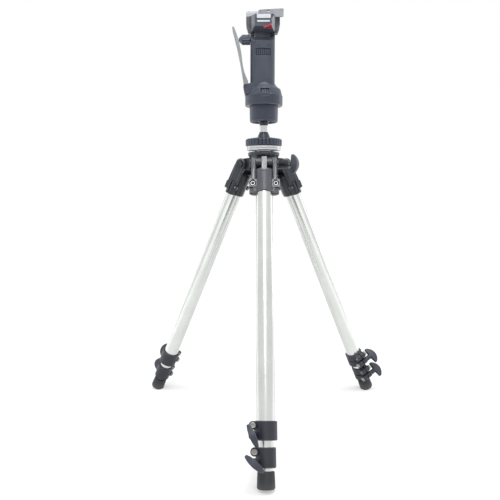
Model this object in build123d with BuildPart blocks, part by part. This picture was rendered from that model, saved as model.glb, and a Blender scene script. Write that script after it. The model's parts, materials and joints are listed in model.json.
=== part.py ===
from build123d import *
from math import atan2, cos, radians, sin, sqrt, tan
import os

# Camera tripod with a grip-action ball head and a hexagonal quick-release plate.
# Lengths are millimetres. The model is drawn about the centre column's axis with the front leg towards -Y,
# then every piece is moved so that the origin is on the floor at the middle of the footprint.

# Clearances
running_fit = 0.05      # radial play of a shaft in its bore
slide_gap = 0.3         # space between faces that pass each other
turned_edge = 1.2       # chamfer on the rims of turned and cast rounds

# Stance
leg_angle = 25.5        # of an open leg, from vertical
leg_length = 478.0      # leg pivot to foot end, legs closed up
foot_end_height = 2.8   # centre of a foot's end face over the floor
leg_azimuths = {"front": 0.0, "right": 120.0, "left": -120.0}

# Leg tubes
upper_tube_r = 13.0
tube_wall = 1.4
tube_play = 0.6         # room between one tube and the next inside it
middle_tube_r = upper_tube_r - tube_wall - tube_play
lower_tube_r = middle_tube_r - tube_wall - tube_play
middle_tube_top = 33.0  # below the leg pivot
lower_tube_top = 66.0

# Leg clamps, heights from the foot end
upper_clamp_r = upper_tube_r + 2.8
upper_clamp_bottom = 60.7
upper_clamp_top = 85.8
lower_clamp_r = middle_tube_r + 2.85
lower_clamp_bottom = 26.6
lower_clamp_top = 52.3
clamp_slit = 1.6
clamp_edge = 0.8
lug_r = 5.6
lug_edge = 5.9          # lug centre from the clamp's end
lug_half_depth = 9.2
clamp_bolt_r = 2.5
clamp_bolt_head_r = 4.2
clamp_bolt_head = 4.0
wing_rest = {"front": (114.0, 140.0), "right": (45.0, 49.0), "left": (100.0, 80.0)}

# Wing screws
wing_span = 31.0
wing_depth = 12.0
wing_thickness = 9.0
wing_tip = 1.9          # half thickness of the wing's ends
wing_flare = 0.4
wing_stem_r = 4.5
wing_stem = 12.0
stem_gap = 0.4          # between a wing's stem and the ring beside it
upper_lug_reach = sqrt(upper_clamp_r**2 - lug_half_depth**2) + wing_stem_r + stem_gap
lower_lug_reach = sqrt(lower_clamp_r**2 - lug_half_depth**2) + wing_stem_r + stem_gap

# Feet
foot_length = 22.7
foot_top_r = lower_tube_r + 2.4
foot_bottom_r = foot_top_r + 1.0
foot_round = 3.4
foot_floor = 8.0        # rubber under the tube's end

# Leg castings, along the leg from its pivot
socket_r = upper_tube_r + 2.5
socket_top = 13.5
socket_round = 5.0
socket_floor = 21.5     # where the upper tube ends
casting_bottom = 53.5
lobe_top = 31.0
lobe_half_depth = 8.5
lobe_slit = 1.5
casting_bolt_drop = 39.7
casting_bolt_r = 2.5
casting_bolt_head_r = 4.2
casting_bolt_head = 4.6
casting_nut = 3.2
bolt_well_r = 5.0       # counterbore round a bolt's head
bolt_well = 5.2
bolt_pad = 12.6         # square pad round the counterbore
bolt_pad_rise = 1.2
casting_bolt_reach = sqrt(socket_r**2 - lobe_half_depth**2) + bolt_well_r + running_fit
lobe_reach = casting_bolt_reach + bolt_well_r + 0.5
ear_thickness = 6.5
ear_r = 9.5
ear_edge = 1.8
rib_top = 3.0           # point of the rib on a fin's front, below the pivot
rib_foot = 34.0
rib_half = 2.2
rib_rise = 2.4
pivot_bolt_r = 4.0
pivot_head_r = 6.5
pivot_head = 2.8

# Angle latches
latch_width = 8.0
latch_thickness = 2.0
latch_pin = (-12.2, -17.0)
latch_pin_r = 1.5
latch_pin_length = 13.0
latch_bend = ((-12.2, -19.2), (-11.2, -6.5), (-10.9, 5.8))

# Centre column
column_r = 12.5
column_wall = 2.0
column_length = 300.0
bushing_wall = 2.0
bushing_lip = 3.0
lip_rise = 1.2
cap_rim = 3.0           # end cap below the tube, and its plug inside
cap_plug = 12.0
top_plate_r = 28.2
top_plate_bottom = 21.5
top_plate_top = 29.0
top_plate_edge = 0.7
top_plate_line = 3.5    # groove round the plate's edge, above its underside
top_plate_plug = 18.0
stud_r = 4.76
stud_length = 9.0

# Shoulder, heights from the leg pivots
bushing_r = column_r + bushing_wall
hub_sleeve_r = bushing_r + 2.7
hub_body_r = bushing_r + 8.5
hub_flange_r = hub_body_r + 3.0
hub_flange_bottom = 13.0
hub_flange_top = 19.0
hub_bottom = -44.0
hub_waist = (-12.0, -5.0)   # the sleeve flares out to the body between these
hub_neck = 7.0
hub_lug_r = 9.0
hub_lug_root = 4.0
hub_lug_half = 13.6
ear_inner = hub_lug_half + 0.4
pivot_radius = hub_body_r + 11.0    # leg pivots from the column axis
lock_azimuth = 60.0
lock_drop = 1.4
lock_boss_r = 7.5
lock_boss_reach = pivot_radius + 13.0
lock_screw_r = 3.75
lock_wing_reach = lock_boss_reach + 4.0

# Head base, stem and ball, heights from the leg pivots
base_r = 30.0
base_edge_top = 40.0
base_cone_foot = 43.4
base_cone_top = 51.9
base_ribs = 30
base_groove = 1.5       # depth of the groove between ribs
base_cone_r = 10.4
stem_socket = 1.5       # step where the stem seats in the base
stem_spigot = 2.5       # step and length of the spigot that carries the ball
stem_spigot_length = 9.0
stem_r = 6.5
stem_top = 62.3
neck_r = 7.9
ball_r = 18.5
ball_height = 84.8

# Ball housing
liner_r = ball_r + 2.1
shoe_r = ball_r + 3.5
shoe_half_angle = 40.0
skirt_r = liner_r + 2.8
skirt_bottom = 67.3
skirt_top = 93.2
rim_r = skirt_r + 7.2
rim_top = 110.2
rim_edge = 0.9
mouth_r = skirt_r - 3.2
mouth_lip_drop = 8.5
liner_rise = 7.0        # above the ball's equator
plunger_r = 8.0
plunger_top = 150.0
plunger_lift = 1.0

# Grip
grip_x = -2.4
grip_width = 39.5
grip_depth = 36.0
grip_corner = 11.0
grip_front_top = 193.0
shoulder_corner = (27.4, 119.5)     # where the shoulder's cone turns in to the grip
shoulder_waist = (20.8, 124.9)
shoulder_top = 131.0
lever_pivot = (-29.2, 122.3)
lever_cheek_top = 125.8
lever_foot = (-33.3, 128.0)
lever_bulge = (-40.0, 168.0)
lever_tip = (-51.4, 215.4)
lever_blade = 3.1       # thickness at the tip
lever_heel = (-25.6, 131.6)
lever_hollow = (-31.4, 145.4)
lever_grip = (-35.2, 164.0)
lever_waist = (-40.2, 192.5)
lever_slot = 27.0
lever_half_width = 13.5
lever_boss_r = 4.4
lever_pin_r = 2.5
lever_block_half = 17.4
friction_ring_r = 25.5
friction_ring_bottom = 110.5
friction_ring_top = 117.2
friction_ribs = 36
friction_groove = 1.0
friction_window = (14.0, 8.0)
friction_window_x = 1.0
friction_window_height = 113.8
badge_window = (24.0, 10.7)
badge_window_depth = 1.2
badge_window_x = grip_x + 1.0
badge_window_height = 176.0
badge_ribs = 7
badge_rib_pitch = 3.0

# Tilt joint and platform
tilt_height = 198.6
tilt_bolt_r = 4.0
tongue_half = 12.4
tongue_r = 9.0
tongue_sweep = 12.8     # the tongue's square shoulders as they turn
knob_r = 7.9
knob_length = 18.6
knob_cone = 6.0
knob_flutes = 12
platform_x = -1.8
platform_corner_r = 27.2
platform_flank = 10.4   # half the depth of the flat flanks
undercut_height = 214.5
platform_waist = 219.0
platform_taper = 16.0
platform_rim = 231.8

# Camera plate
plate_half_width = 27.0
plate_y = 6.0           # its boss and screw, behind the tilt axis
plate_top = 239.3
plate_edge = 0.8
plate_boss_corner_r = 14.0
plate_boss_depth = 4.5
pad_thickness = 1.0
pad_inset = 2.4
camera_screw_r = 3.175  # quarter-inch camera thread
camera_screw_head_r = 8.0
camera_screw_head = 2.6
camera_screw_travel = 5.5
coin_slot = (11.0, 1.6, 2.4)
screw_sink = 0.3        # tip below the pad when the screw is drawn back

# Quick-release lever on the shelf in front of the plate, heights from the leg pivots
qr_pivot = (-4.6, -18.0)
qr_pin_r = 1.3
qr_barrel_r = 2.6
qr_pin_depth = 8.0
qr_thickness = 3.4
qr_yaw = -7.0
qr_tail = 4.6           # beyond the pivot
qr_reach = 35.0
qr_tail_top = 239.2
qr_paddle_top = 240.1
qr_paddle_bottom = 227.3
qr_step = (19.5, 22.5)  # where the paddle drops beyond the platform's corner
qr_corner = 1.4
qr_slot = (6.0, 1.6)
qr_slot_place = (11.4, 236.6)

# Safety catch, drawn on the sloping underside
catch_pivot = (8.6, 5.0)
catch_thickness = 3.2
catch_pin_r = 1.4
catch_pin_depth = 5.0
catch_corner = 0.7
catch_outline = ((-3.6, 5.4), (12.2, 3.6), (12.8, 6.2), (10.6, 12.8), (4.6, 8.6))

# Places that follow from the sizes above
pivot_height = leg_length * cos(radians(leg_angle)) + foot_end_height
ball_z = pivot_height + ball_height
tilt_z = pivot_height + tilt_height
leg_frame = Plane(
    origin=(0, -pivot_radius, pivot_height),
    x_dir=(1, 0, 0),
    z_dir=(0, sin(radians(leg_angle)), cos(radians(leg_angle))),
)
pivot_planes = [
    Plane(
        origin=(pivot_radius * sin(radians(a)), -pivot_radius * cos(radians(a)), pivot_height),
        z_dir=(cos(radians(a)), sin(radians(a)), 0),
    )
    for a in leg_azimuths.values()
]
ear_outer = ear_inner + ear_thickness + 0.1
lock_direction = (sin(radians(lock_azimuth)), -cos(radians(lock_azimuth)), 0)
platform_flat_r = platform_corner_r * cos(radians(30))
undercut_rise = (undercut_height - tilt_height - tongue_r) / (platform_flat_r - tongue_r)
head_top = pivot_height + plate_top + pad_thickness
fin_middle = ear_inner + ear_thickness / 2
cut = 40.0              # reach of a cutter that passes right through a piece
rear_floor = tilt_z - platform_flat_r - 2 * slide_gap   # ledge behind the clevis, under the tilted platform
rear_ledge = tongue_r + (tilt_z - tongue_r - rear_floor) * undercut_rise
UP = (Align.CENTER, Align.CENTER, Align.MIN)
DOWN = (Align.CENTER, Align.CENTER, Align.MAX)
PAD = (Align.CENTER, Align.MAX, Align.CENTER)


def half_section(*points):
    """A closed half section of (radius, height) points on XZ, for a turned piece about Z."""
    with BuildSketch(Plane.XZ) as section:
        with BuildLine():
            Polyline(*points, close=True)
        make_face()
    return section.sketch


def tube(outer_r, wall, top, bottom):
    """A straight tube between two heights on the leg's axis."""
    with BuildPart() as pipe:
        inner_r = outer_r - wall
        section = half_section((inner_r, bottom), (outer_r, bottom), (outer_r, top), (inner_r, top))
        revolve(section, axis=Axis.Z)
    return pipe.part


def wing_screw(shank_r, shank_length, stem):
    """A wing screw along Z: shank below its seat at zero, stem and crescent wing above."""
    half = wing_span / 2 + wing_flare
    corner = stem + 0.3 * wing_depth
    with BuildPart() as screw:
        with BuildSketch(Plane.XZ):
            with BuildLine():
                Line((-wing_span / 2, stem), (wing_span / 2, stem))
                Line((wing_span / 2, stem), (half, corner))
                ThreePointArc((half, corner), (0, stem + wing_depth), (-half, corner))
                Line((-half, corner), (-wing_span / 2, stem))
            make_face()
        extrude(amount=wing_thickness / 2, both=True)
        with BuildSketch(Plane.XY):
            with BuildLine():
                ThreePointArc((-half, wing_tip), (0, wing_thickness / 2), (half, wing_tip))
                Line((half, wing_tip), (half, -wing_tip))
                ThreePointArc((half, -wing_tip), (0, -wing_thickness / 2), (-half, -wing_tip))
                Line((-half, -wing_tip), (-half, wing_tip))
            make_face()
        extrude(amount=stem + wing_depth, mode=Mode.INTERSECT)
        Cylinder(wing_stem_r, stem + 0.5 * wing_depth, align=UP)
        Cylinder(shank_r, shank_length, align=DOWN)
    return screw.part


def leg_clamp(outer_r, upper_r, lower_r, lug_reach, top, bottom):
    """A two-storey split ring: the upper storey grips one tube, the lower storey guides the next."""
    middle = (top + bottom) / 2
    with BuildPart() as clamp:
        with Locations((0, 0, bottom)):
            Cylinder(outer_r, top - bottom, align=UP)
        chamfer(clamp.edges().filter_by(GeomType.CIRCLE), clamp_edge)
        with BuildSketch(Plane.XZ):
            with Locations((-lug_reach, top - lug_edge), (-lug_reach, bottom + lug_edge)):
                Circle(lug_r)
            with Locations((-lug_reach / 2, top - lug_edge), (-lug_reach / 2, bottom + lug_edge)):
                Rectangle(lug_reach, 2 * lug_r)
        extrude(amount=lug_half_depth, both=True)
        with Locations((0, 0, middle)):
            Cylinder(upper_r + running_fit, top - middle, align=UP, mode=Mode.SUBTRACT)
            Cylinder(lower_r + running_fit, middle - bottom, align=DOWN, mode=Mode.SUBTRACT)
        with Locations((-outer_r, outer_r, middle)):
            Box(2 * outer_r + 6, 2 * outer_r, clamp_slit, mode=Mode.SUBTRACT)
        with Locations((-outer_r - lug_r, 0, middle)):
            Box(2 * outer_r, clamp_slit, 2 * (top - bottom), mode=Mode.SUBTRACT)
        with Locations((-lug_reach, 0, top - lug_edge), (-lug_reach, 0, bottom + lug_edge)):
            Cylinder(clamp_bolt_r + running_fit, cut, rotation=(90, 0, 0), mode=Mode.SUBTRACT)
    return clamp.part


# Shoulder casting with its flange, column sleeve, leg lugs and column-lock boss
with BuildPart() as hub_casting:
    section = half_section(
        (bushing_r + running_fit, pivot_height + hub_bottom),
        (hub_sleeve_r - turned_edge, pivot_height + hub_bottom),
        (hub_sleeve_r, pivot_height + hub_bottom + turned_edge),
        (hub_sleeve_r, pivot_height + hub_waist[0]),
        (hub_body_r, pivot_height + hub_waist[1]),
        (hub_body_r, pivot_height + hub_neck),
        (hub_flange_r - turned_edge, pivot_height + hub_flange_bottom),
        (hub_flange_r, pivot_height + hub_flange_bottom + turned_edge),
        (hub_flange_r, pivot_height + hub_flange_top - turned_edge),
        (hub_flange_r - turned_edge, pivot_height + hub_flange_top),
        (bushing_r + running_fit, pivot_height + hub_flange_top),
    )
    revolve(section, axis=Axis.Z)
    with BuildSketch(Plane.YZ):
        with Locations((-pivot_radius, pivot_height)):
            Circle(hub_lug_r)
        with Locations((-hub_body_r + hub_lug_root / 2, pivot_height)):
            Rectangle(hub_lug_root, 2 * hub_lug_r + 2)
        make_hull()
    lug_solid = extrude(amount=hub_lug_half, both=True)
    for azimuth in list(leg_azimuths.values())[1:]:
        add(lug_solid.rotate(Axis.Z, azimuth))
    with BuildSketch(Plane(origin=(0, 0, pivot_height - lock_drop), z_dir=lock_direction)):
        Circle(lock_boss_r)
    extrude(amount=lock_boss_reach)
    with BuildSketch(Plane(origin=(0, 0, pivot_height - lock_drop), z_dir=lock_direction)):
        Circle(lock_screw_r + running_fit)
    extrude(amount=lock_boss_reach + 1, mode=Mode.SUBTRACT)
    with Locations((0, 0, pivot_height + hub_bottom - 1)):
        Cylinder(bushing_r + running_fit, 2 * cut, align=UP, mode=Mode.SUBTRACT)
    with Locations(*pivot_planes):
        Cylinder(pivot_bolt_r + running_fit, 2 * cut, mode=Mode.SUBTRACT)

# Plastic sleeve that guides the column, with a lip on the flange
with BuildPart() as column_bushing:
    section = half_section(
        (column_r + running_fit, pivot_height + hub_bottom + 1),
        (bushing_r, pivot_height + hub_bottom + 1),
        (bushing_r, pivot_height + hub_flange_top),
        (bushing_r + bushing_lip, pivot_height + hub_flange_top),
        (bushing_r + bushing_lip - lip_rise / 2, pivot_height + hub_flange_top + lip_rise),
        (column_r + running_fit + lip_rise / 2, pivot_height + hub_flange_top + lip_rise),
        (column_r + running_fit, pivot_height + hub_flange_top + lip_rise / 2),
    )
    revolve(section, axis=Axis.Z)

# Bolts that the three legs swing on, each with a head and a nut
with BuildPart() as leg_pivot_bolts:
    with Locations(*pivot_planes):
        Cylinder(pivot_bolt_r, 2 * ear_outer)
        with Locations((0, 0, ear_outer)):
            Cylinder(pivot_head_r, pivot_head, align=UP)
        with Locations((0, 0, -ear_outer)):
            Cylinder(pivot_head_r, pivot_head, align=DOWN)

# Wing screw that locks the column
lock_plane = Plane(
    origin=tuple(lock_wing_reach * c for c in lock_direction[:2]) + (pivot_height - lock_drop,),
    x_dir=(0, 0, 1),
    z_dir=lock_direction,
)
column_lock_screw = lock_plane.location * wing_screw(lock_screw_r, lock_wing_reach - bushing_r - 0.4, 0.4)

# Centre column: tube, end plug and top plate with the stud that carries the head
with BuildPart() as column_tube:
    section = half_section(
        (column_r - column_wall, pivot_height + top_plate_bottom - column_length),
        (column_r, pivot_height + top_plate_bottom - column_length),
        (column_r, pivot_height + top_plate_bottom),
        (column_r - column_wall, pivot_height + top_plate_bottom),
    )
    revolve(section, axis=Axis.Z)

column_end = pivot_height + top_plate_bottom - column_length
with BuildPart() as column_end_cap:
    section = half_section(
        (0, column_end - cap_rim),
        (column_r - turned_edge, column_end - cap_rim),
        (column_r, column_end - cap_rim + turned_edge),
        (column_r, column_end),
        (column_r - column_wall - running_fit, column_end),
        (column_r - column_wall - running_fit, column_end + cap_plug),
        (column_r - column_wall - turned_edge, column_end + cap_plug + turned_edge),
        (0, column_end + cap_plug + turned_edge),
    )
    revolve(section, axis=Axis.Z)

plate_low = pivot_height + top_plate_bottom
plate_high = pivot_height + top_plate_top
with BuildPart() as column_top_plate:
    section = half_section(
        (0, plate_low - top_plate_plug),
        (column_r - column_wall - running_fit, plate_low - top_plate_plug),
        (column_r - column_wall - running_fit, plate_low),
        (top_plate_r - top_plate_edge, plate_low),
        (top_plate_r, plate_low + top_plate_edge),
        (top_plate_r, plate_low + top_plate_line - top_plate_edge),
        (top_plate_r - top_plate_edge, plate_low + top_plate_line),
        (top_plate_r, plate_low + top_plate_line + top_plate_edge),
        (top_plate_r, plate_high - top_plate_edge),
        (top_plate_r - top_plate_edge, plate_high),
        (stud_r, plate_high),
        (stud_r, plate_high + stud_length - top_plate_edge),
        (stud_r - top_plate_edge, plate_high + stud_length),
        (0, plate_high + stud_length),
    )
    revolve(section, axis=Axis.Z)

# Leg pieces, drawn with the pivot at the origin, the leg along -Z and its outer side towards -Y
with BuildPart() as fin:
    with BuildSketch(Plane.YZ.offset(ear_inner)):
        Circle(ear_r)
        with Locations((0, -lobe_top - 6)):
            Rectangle(2 * lobe_half_depth - 2, 12)
        make_hull()
    extrude(amount=ear_thickness)
    chamfer(fin.faces().sort_by(Axis.X)[-1].edges(), ear_edge)

with BuildPart() as leg_casting:
    with Locations((0, 0, -casting_bottom)):
        Cylinder(socket_r, casting_bottom - socket_top, align=UP)
    fillet(leg_casting.edges().filter_by(GeomType.CIRCLE).sort_by(Axis.Z)[-1], socket_round)
    with BuildSketch(Plane.XY.offset(-casting_bottom)):
        SlotOverall(2 * lobe_reach, 2 * lobe_half_depth)
    extrude(amount=casting_bottom - lobe_top)
    bolt_places = [(side * casting_bolt_reach, 0, -casting_bolt_drop) for side in (-1, 1)]
    with Locations(*bolt_places):
        Box(bolt_pad, lobe_half_depth + bolt_pad_rise, bolt_pad, align=PAD)
    with BuildSketch(Plane.XZ.offset(lobe_half_depth - 2)):
        with BuildLine():
            Polyline((-rib_half, -rib_foot), (rib_half, -rib_foot), (0, -rib_top), close=True)
        make_face()
    rib = extrude(amount=rib_rise + 2, mode=Mode.PRIVATE)
    for side in (-1, 1):
        add(rib.moved(Location((side * fin_middle, 0, 0))))
    add(fin.part)
    add(fin.part.mirror(Plane.YZ))
    with Locations((0, 0, -casting_bottom)):
        Cylinder(upper_tube_r + running_fit, casting_bottom - socket_floor, align=UP, mode=Mode.SUBTRACT)
    with Locations((lobe_reach, 0, -casting_bottom), (-lobe_reach, 0, -casting_bottom)):
        slit_reach = 2 * (lobe_reach - upper_tube_r)
        Box(slit_reach, lobe_slit, 2 * (casting_bottom - lobe_top), mode=Mode.SUBTRACT)
    with Locations(*bolt_places):
        Cylinder(casting_bolt_r + running_fit, cut, rotation=(90, 0, 0), mode=Mode.SUBTRACT)
        with Locations((0, -lobe_half_depth - bolt_pad_rise, 0)):
            Cylinder(bolt_well_r, 2 * bolt_well, rotation=(90, 0, 0), mode=Mode.SUBTRACT)
    Cylinder(pivot_bolt_r + running_fit, 2 * cut, rotation=(0, 90, 0), mode=Mode.SUBTRACT)
    with Locations((0, -socket_r, -socket_top)):
        Box(latch_width + 2 * slide_gap, 2 * (socket_r - 6.5), 15, mode=Mode.SUBTRACT)
    with Locations((0, latch_pin[0], latch_pin[1])):
        Cylinder(latch_pin_r + running_fit, latch_pin_length + 0.4, rotation=(0, 90, 0), mode=Mode.SUBTRACT)

with BuildPart() as leg_latch:
    with BuildSketch(Plane.YZ):
        with BuildLine():
            Polyline(*latch_bend)
        trace(line_width=latch_thickness)
    extrude(amount=latch_width / 2, both=True)
    with Locations((0, latch_pin[0], latch_pin[1])):
        Cylinder(latch_pin_r, latch_pin_length, rotation=(0, 90, 0))

with BuildPart() as leg_bolts:
    bolt_seat = lobe_half_depth + bolt_pad_rise - bolt_well
    for x in (-casting_bolt_reach, casting_bolt_reach):
        with Locations(Location((x, -bolt_seat, -casting_bolt_drop), (90, 0, 0))):
            Cylinder(casting_bolt_head_r, casting_bolt_head, align=UP)
            Cylinder(casting_bolt_r, bolt_seat + lobe_half_depth + casting_nut, align=DOWN)
        with Locations(Location((x, lobe_half_depth, -casting_bolt_drop), (90, 0, 0))):
            Cylinder(casting_bolt_head_r, casting_nut, align=DOWN)
    clamp_bolt_seat = (-upper_lug_reach, -lug_half_depth, upper_clamp_top - lug_edge - leg_length)
    with Locations(Location(clamp_bolt_seat, (90, 0, 0))):
        Cylinder(clamp_bolt_head_r, clamp_bolt_head, align=UP)
        Cylinder(clamp_bolt_r, 2 * lug_half_depth, align=DOWN)

upper_tube_end = (upper_clamp_top + upper_clamp_bottom) / 2 - leg_length
middle_tube_end = (lower_clamp_top + lower_clamp_bottom) / 2 - leg_length
upper_tube = tube(upper_tube_r, tube_wall, -socket_floor, upper_tube_end)
middle_tube = tube(middle_tube_r, tube_wall, -middle_tube_top, middle_tube_end)
lower_tube = tube(lower_tube_r, tube_wall, -lower_tube_top, foot_floor - leg_length)
upper_clamp = leg_clamp(
    upper_clamp_r, upper_tube_r, middle_tube_r, upper_lug_reach,
    upper_clamp_top - leg_length, upper_clamp_bottom - leg_length,
)
lower_clamp = leg_clamp(
    lower_clamp_r, middle_tube_r, lower_tube_r, lower_lug_reach,
    lower_clamp_top - leg_length, lower_clamp_bottom - leg_length,
)
clamp_wing = wing_screw(clamp_bolt_r, 2 * lug_half_depth, wing_stem)

# Floor seen from the leg, which trims each foot to a flat sole
floor_normal = (0, -sin(radians(leg_angle)), cos(radians(leg_angle)))
floor_plane = Plane(
    origin=(0, -foot_end_height * floor_normal[1], -leg_length - foot_end_height * floor_normal[2]),
    z_dir=floor_normal,
)
with BuildPart() as leg_foot:
    section = half_section(
        (0, -leg_length),
        (foot_bottom_r, -leg_length),
        (foot_top_r + 0.15, foot_length - leg_length - 0.8),
        (foot_top_r - 0.6, foot_length - leg_length),
        (lower_tube_r + running_fit, foot_length - leg_length),
        (lower_tube_r + running_fit, foot_floor - leg_length),
        (0, foot_floor - leg_length),
    )
    revolve(section, axis=Axis.Z)
    fillet(leg_foot.edges().filter_by(GeomType.CIRCLE).sort_by(Axis.Z)[0], foot_round)
    split(bisect_by=floor_plane, keep=Keep.TOP)

# Head base, stem and ball
base_low = plate_high
with BuildPart() as head_base:
    section = half_section(
        (stud_r + running_fit, base_low),
        (base_r - turned_edge, base_low),
        (base_r, base_low + turned_edge),
        (base_r, pivot_height + base_edge_top - turned_edge),
        (base_r - turned_edge, pivot_height + base_edge_top),
        (base_r - 2 * turned_edge, pivot_height + base_edge_top + turned_edge / 2),
        (base_cone_r, pivot_height + base_cone_foot),
        (stem_r + 0.5, pivot_height + base_cone_top),
        (stem_r - stem_socket, pivot_height + base_cone_top),
        (stem_r - stem_socket, plate_high + stud_length + 0.5),
        (stud_r + running_fit, plate_high + stud_length + 0.5),
    )
    revolve(section, axis=Axis.Z)
    with BuildSketch(Plane.XY.offset(base_low)):
        with PolarLocations(base_r, base_ribs):
            RegularPolygon(base_groove, 4)
    extrude(amount=base_edge_top, mode=Mode.SUBTRACT)

with BuildPart() as ball_stem:
    section = half_section(
        (0, plate_high + stud_length + 1.0),
        (stem_r - stem_socket - running_fit, plate_high + stud_length + 1.0),
        (stem_r - stem_socket - running_fit, pivot_height + base_cone_top),
        (stem_r, pivot_height + base_cone_top),
        (stem_r, pivot_height + stem_top),
        (stem_r - stem_spigot, pivot_height + stem_top),
        (stem_r - stem_spigot, pivot_height + stem_top + stem_spigot_length),
        (0, pivot_height + stem_top + stem_spigot_length),
    )
    revolve(section, axis=Axis.Z)

with BuildPart() as ball:
    section = half_section(
        (0, pivot_height + stem_top + 0.1),
        (stem_r, pivot_height + stem_top + 0.1),
        (neck_r, pivot_height + skirt_bottom),
        (neck_r, ball_z - 0.8 * ball_r),
        (0, ball_z - 0.8 * ball_r),
    )
    revolve(section, axis=Axis.Z)
    with Locations((0, 0, ball_z)):
        Sphere(ball_r)
    with Locations((0, 0, pivot_height + stem_top)):
        Cylinder(
            stem_r - stem_spigot + running_fit, stem_spigot_length + slide_gap, align=UP, mode=Mode.SUBTRACT
        )

# Brake shoe: a spherical cap that rides on the ball
shoe_inner_r = ball_r + running_fit + 0.05
cap_x = sin(radians(shoe_half_angle))
cap_y = cos(radians(shoe_half_angle))
mid_x = sin(radians(shoe_half_angle / 2))
mid_y = cos(radians(shoe_half_angle / 2))
with BuildPart() as brake_shoe:
    with BuildSketch(Plane.XZ):
        with BuildLine():
            Line((0, ball_z + shoe_inner_r), (0, ball_z + shoe_r))
            ThreePointArc(
                (0, ball_z + shoe_r),
                (shoe_r * mid_x, ball_z + shoe_r * mid_y),
                (shoe_r * cap_x, ball_z + shoe_r * cap_y),
            )
            Line(
                (shoe_r * cap_x, ball_z + shoe_r * cap_y),
                (shoe_inner_r * cap_x, ball_z + shoe_inner_r * cap_y),
            )
            ThreePointArc(
                (shoe_inner_r * cap_x, ball_z + shoe_inner_r * cap_y),
                (shoe_inner_r * mid_x, ball_z + shoe_inner_r * mid_y),
                (0, ball_z + shoe_inner_r),
            )
        make_face()
    revolve(axis=Axis.Z)

# Plunger that presses the shoe, hollowed to the shoe's curve
with BuildPart() as brake_plunger:
    with Locations((0, 0, ball_z)):
        Cylinder(plunger_r, pivot_height + plunger_top - ball_z, align=UP)
        Sphere(shoe_r + 0.1, mode=Mode.SUBTRACT)

# Socket liner: a ring round the ball's equator
with BuildPart() as socket_liner:
    with Locations((0, 0, ball_z - mouth_lip_drop)):
        Cylinder(liner_r, mouth_lip_drop + liner_rise, align=UP)
    with Locations((0, 0, ball_z)):
        Sphere(shoe_inner_r, mode=Mode.SUBTRACT)

# Ball housing: skirt, rim and conical mouth
with BuildPart() as ball_housing:
    section = half_section(
        (0, pivot_height + skirt_bottom),
        (skirt_r - 2 * rim_edge, pivot_height + skirt_bottom),
        (skirt_r - rim_edge / 2, pivot_height + skirt_bottom + 2 * rim_edge),
        (skirt_r, pivot_height + skirt_top),
        (rim_r - rim_edge, pivot_height + skirt_top),
        (rim_r, pivot_height + skirt_top + rim_edge),
        (rim_r, pivot_height + rim_top - rim_edge),
        (rim_r - rim_edge, pivot_height + rim_top),
        (0, pivot_height + rim_top),
    )
    revolve(section, axis=Axis.Z)
    with Locations((0, 0, ball_z)):
        Sphere(shoe_r + 0.1, mode=Mode.SUBTRACT)
    with Locations((0, 0, ball_z - mouth_lip_drop)):
        Cylinder(liner_r + running_fit, mouth_lip_drop + liner_rise + 0.2, align=UP, mode=Mode.SUBTRACT)
    with BuildSketch(Plane.XZ):
        with BuildLine():
            lip_r = sqrt(shoe_inner_r**2 - mouth_lip_drop**2) + 0.1
            Polyline(
                (0, pivot_height + skirt_bottom - 0.1),
                (mouth_r, pivot_height + skirt_bottom - 0.1),
                (lip_r, ball_z - mouth_lip_drop),
                (0, ball_z - mouth_lip_drop),
                close=True,
            )
        make_face()
    revolve(axis=Axis.Z, mode=Mode.SUBTRACT)
    with Locations((0, 0, ball_z)):
        Cylinder(plunger_r + running_fit, 2 * cut, align=UP, mode=Mode.SUBTRACT)
    with Locations((friction_window_x, -rim_r, pivot_height + rim_top)):
        Box(friction_window[0] + 1, 4, friction_window[1], mode=Mode.SUBTRACT)

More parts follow.
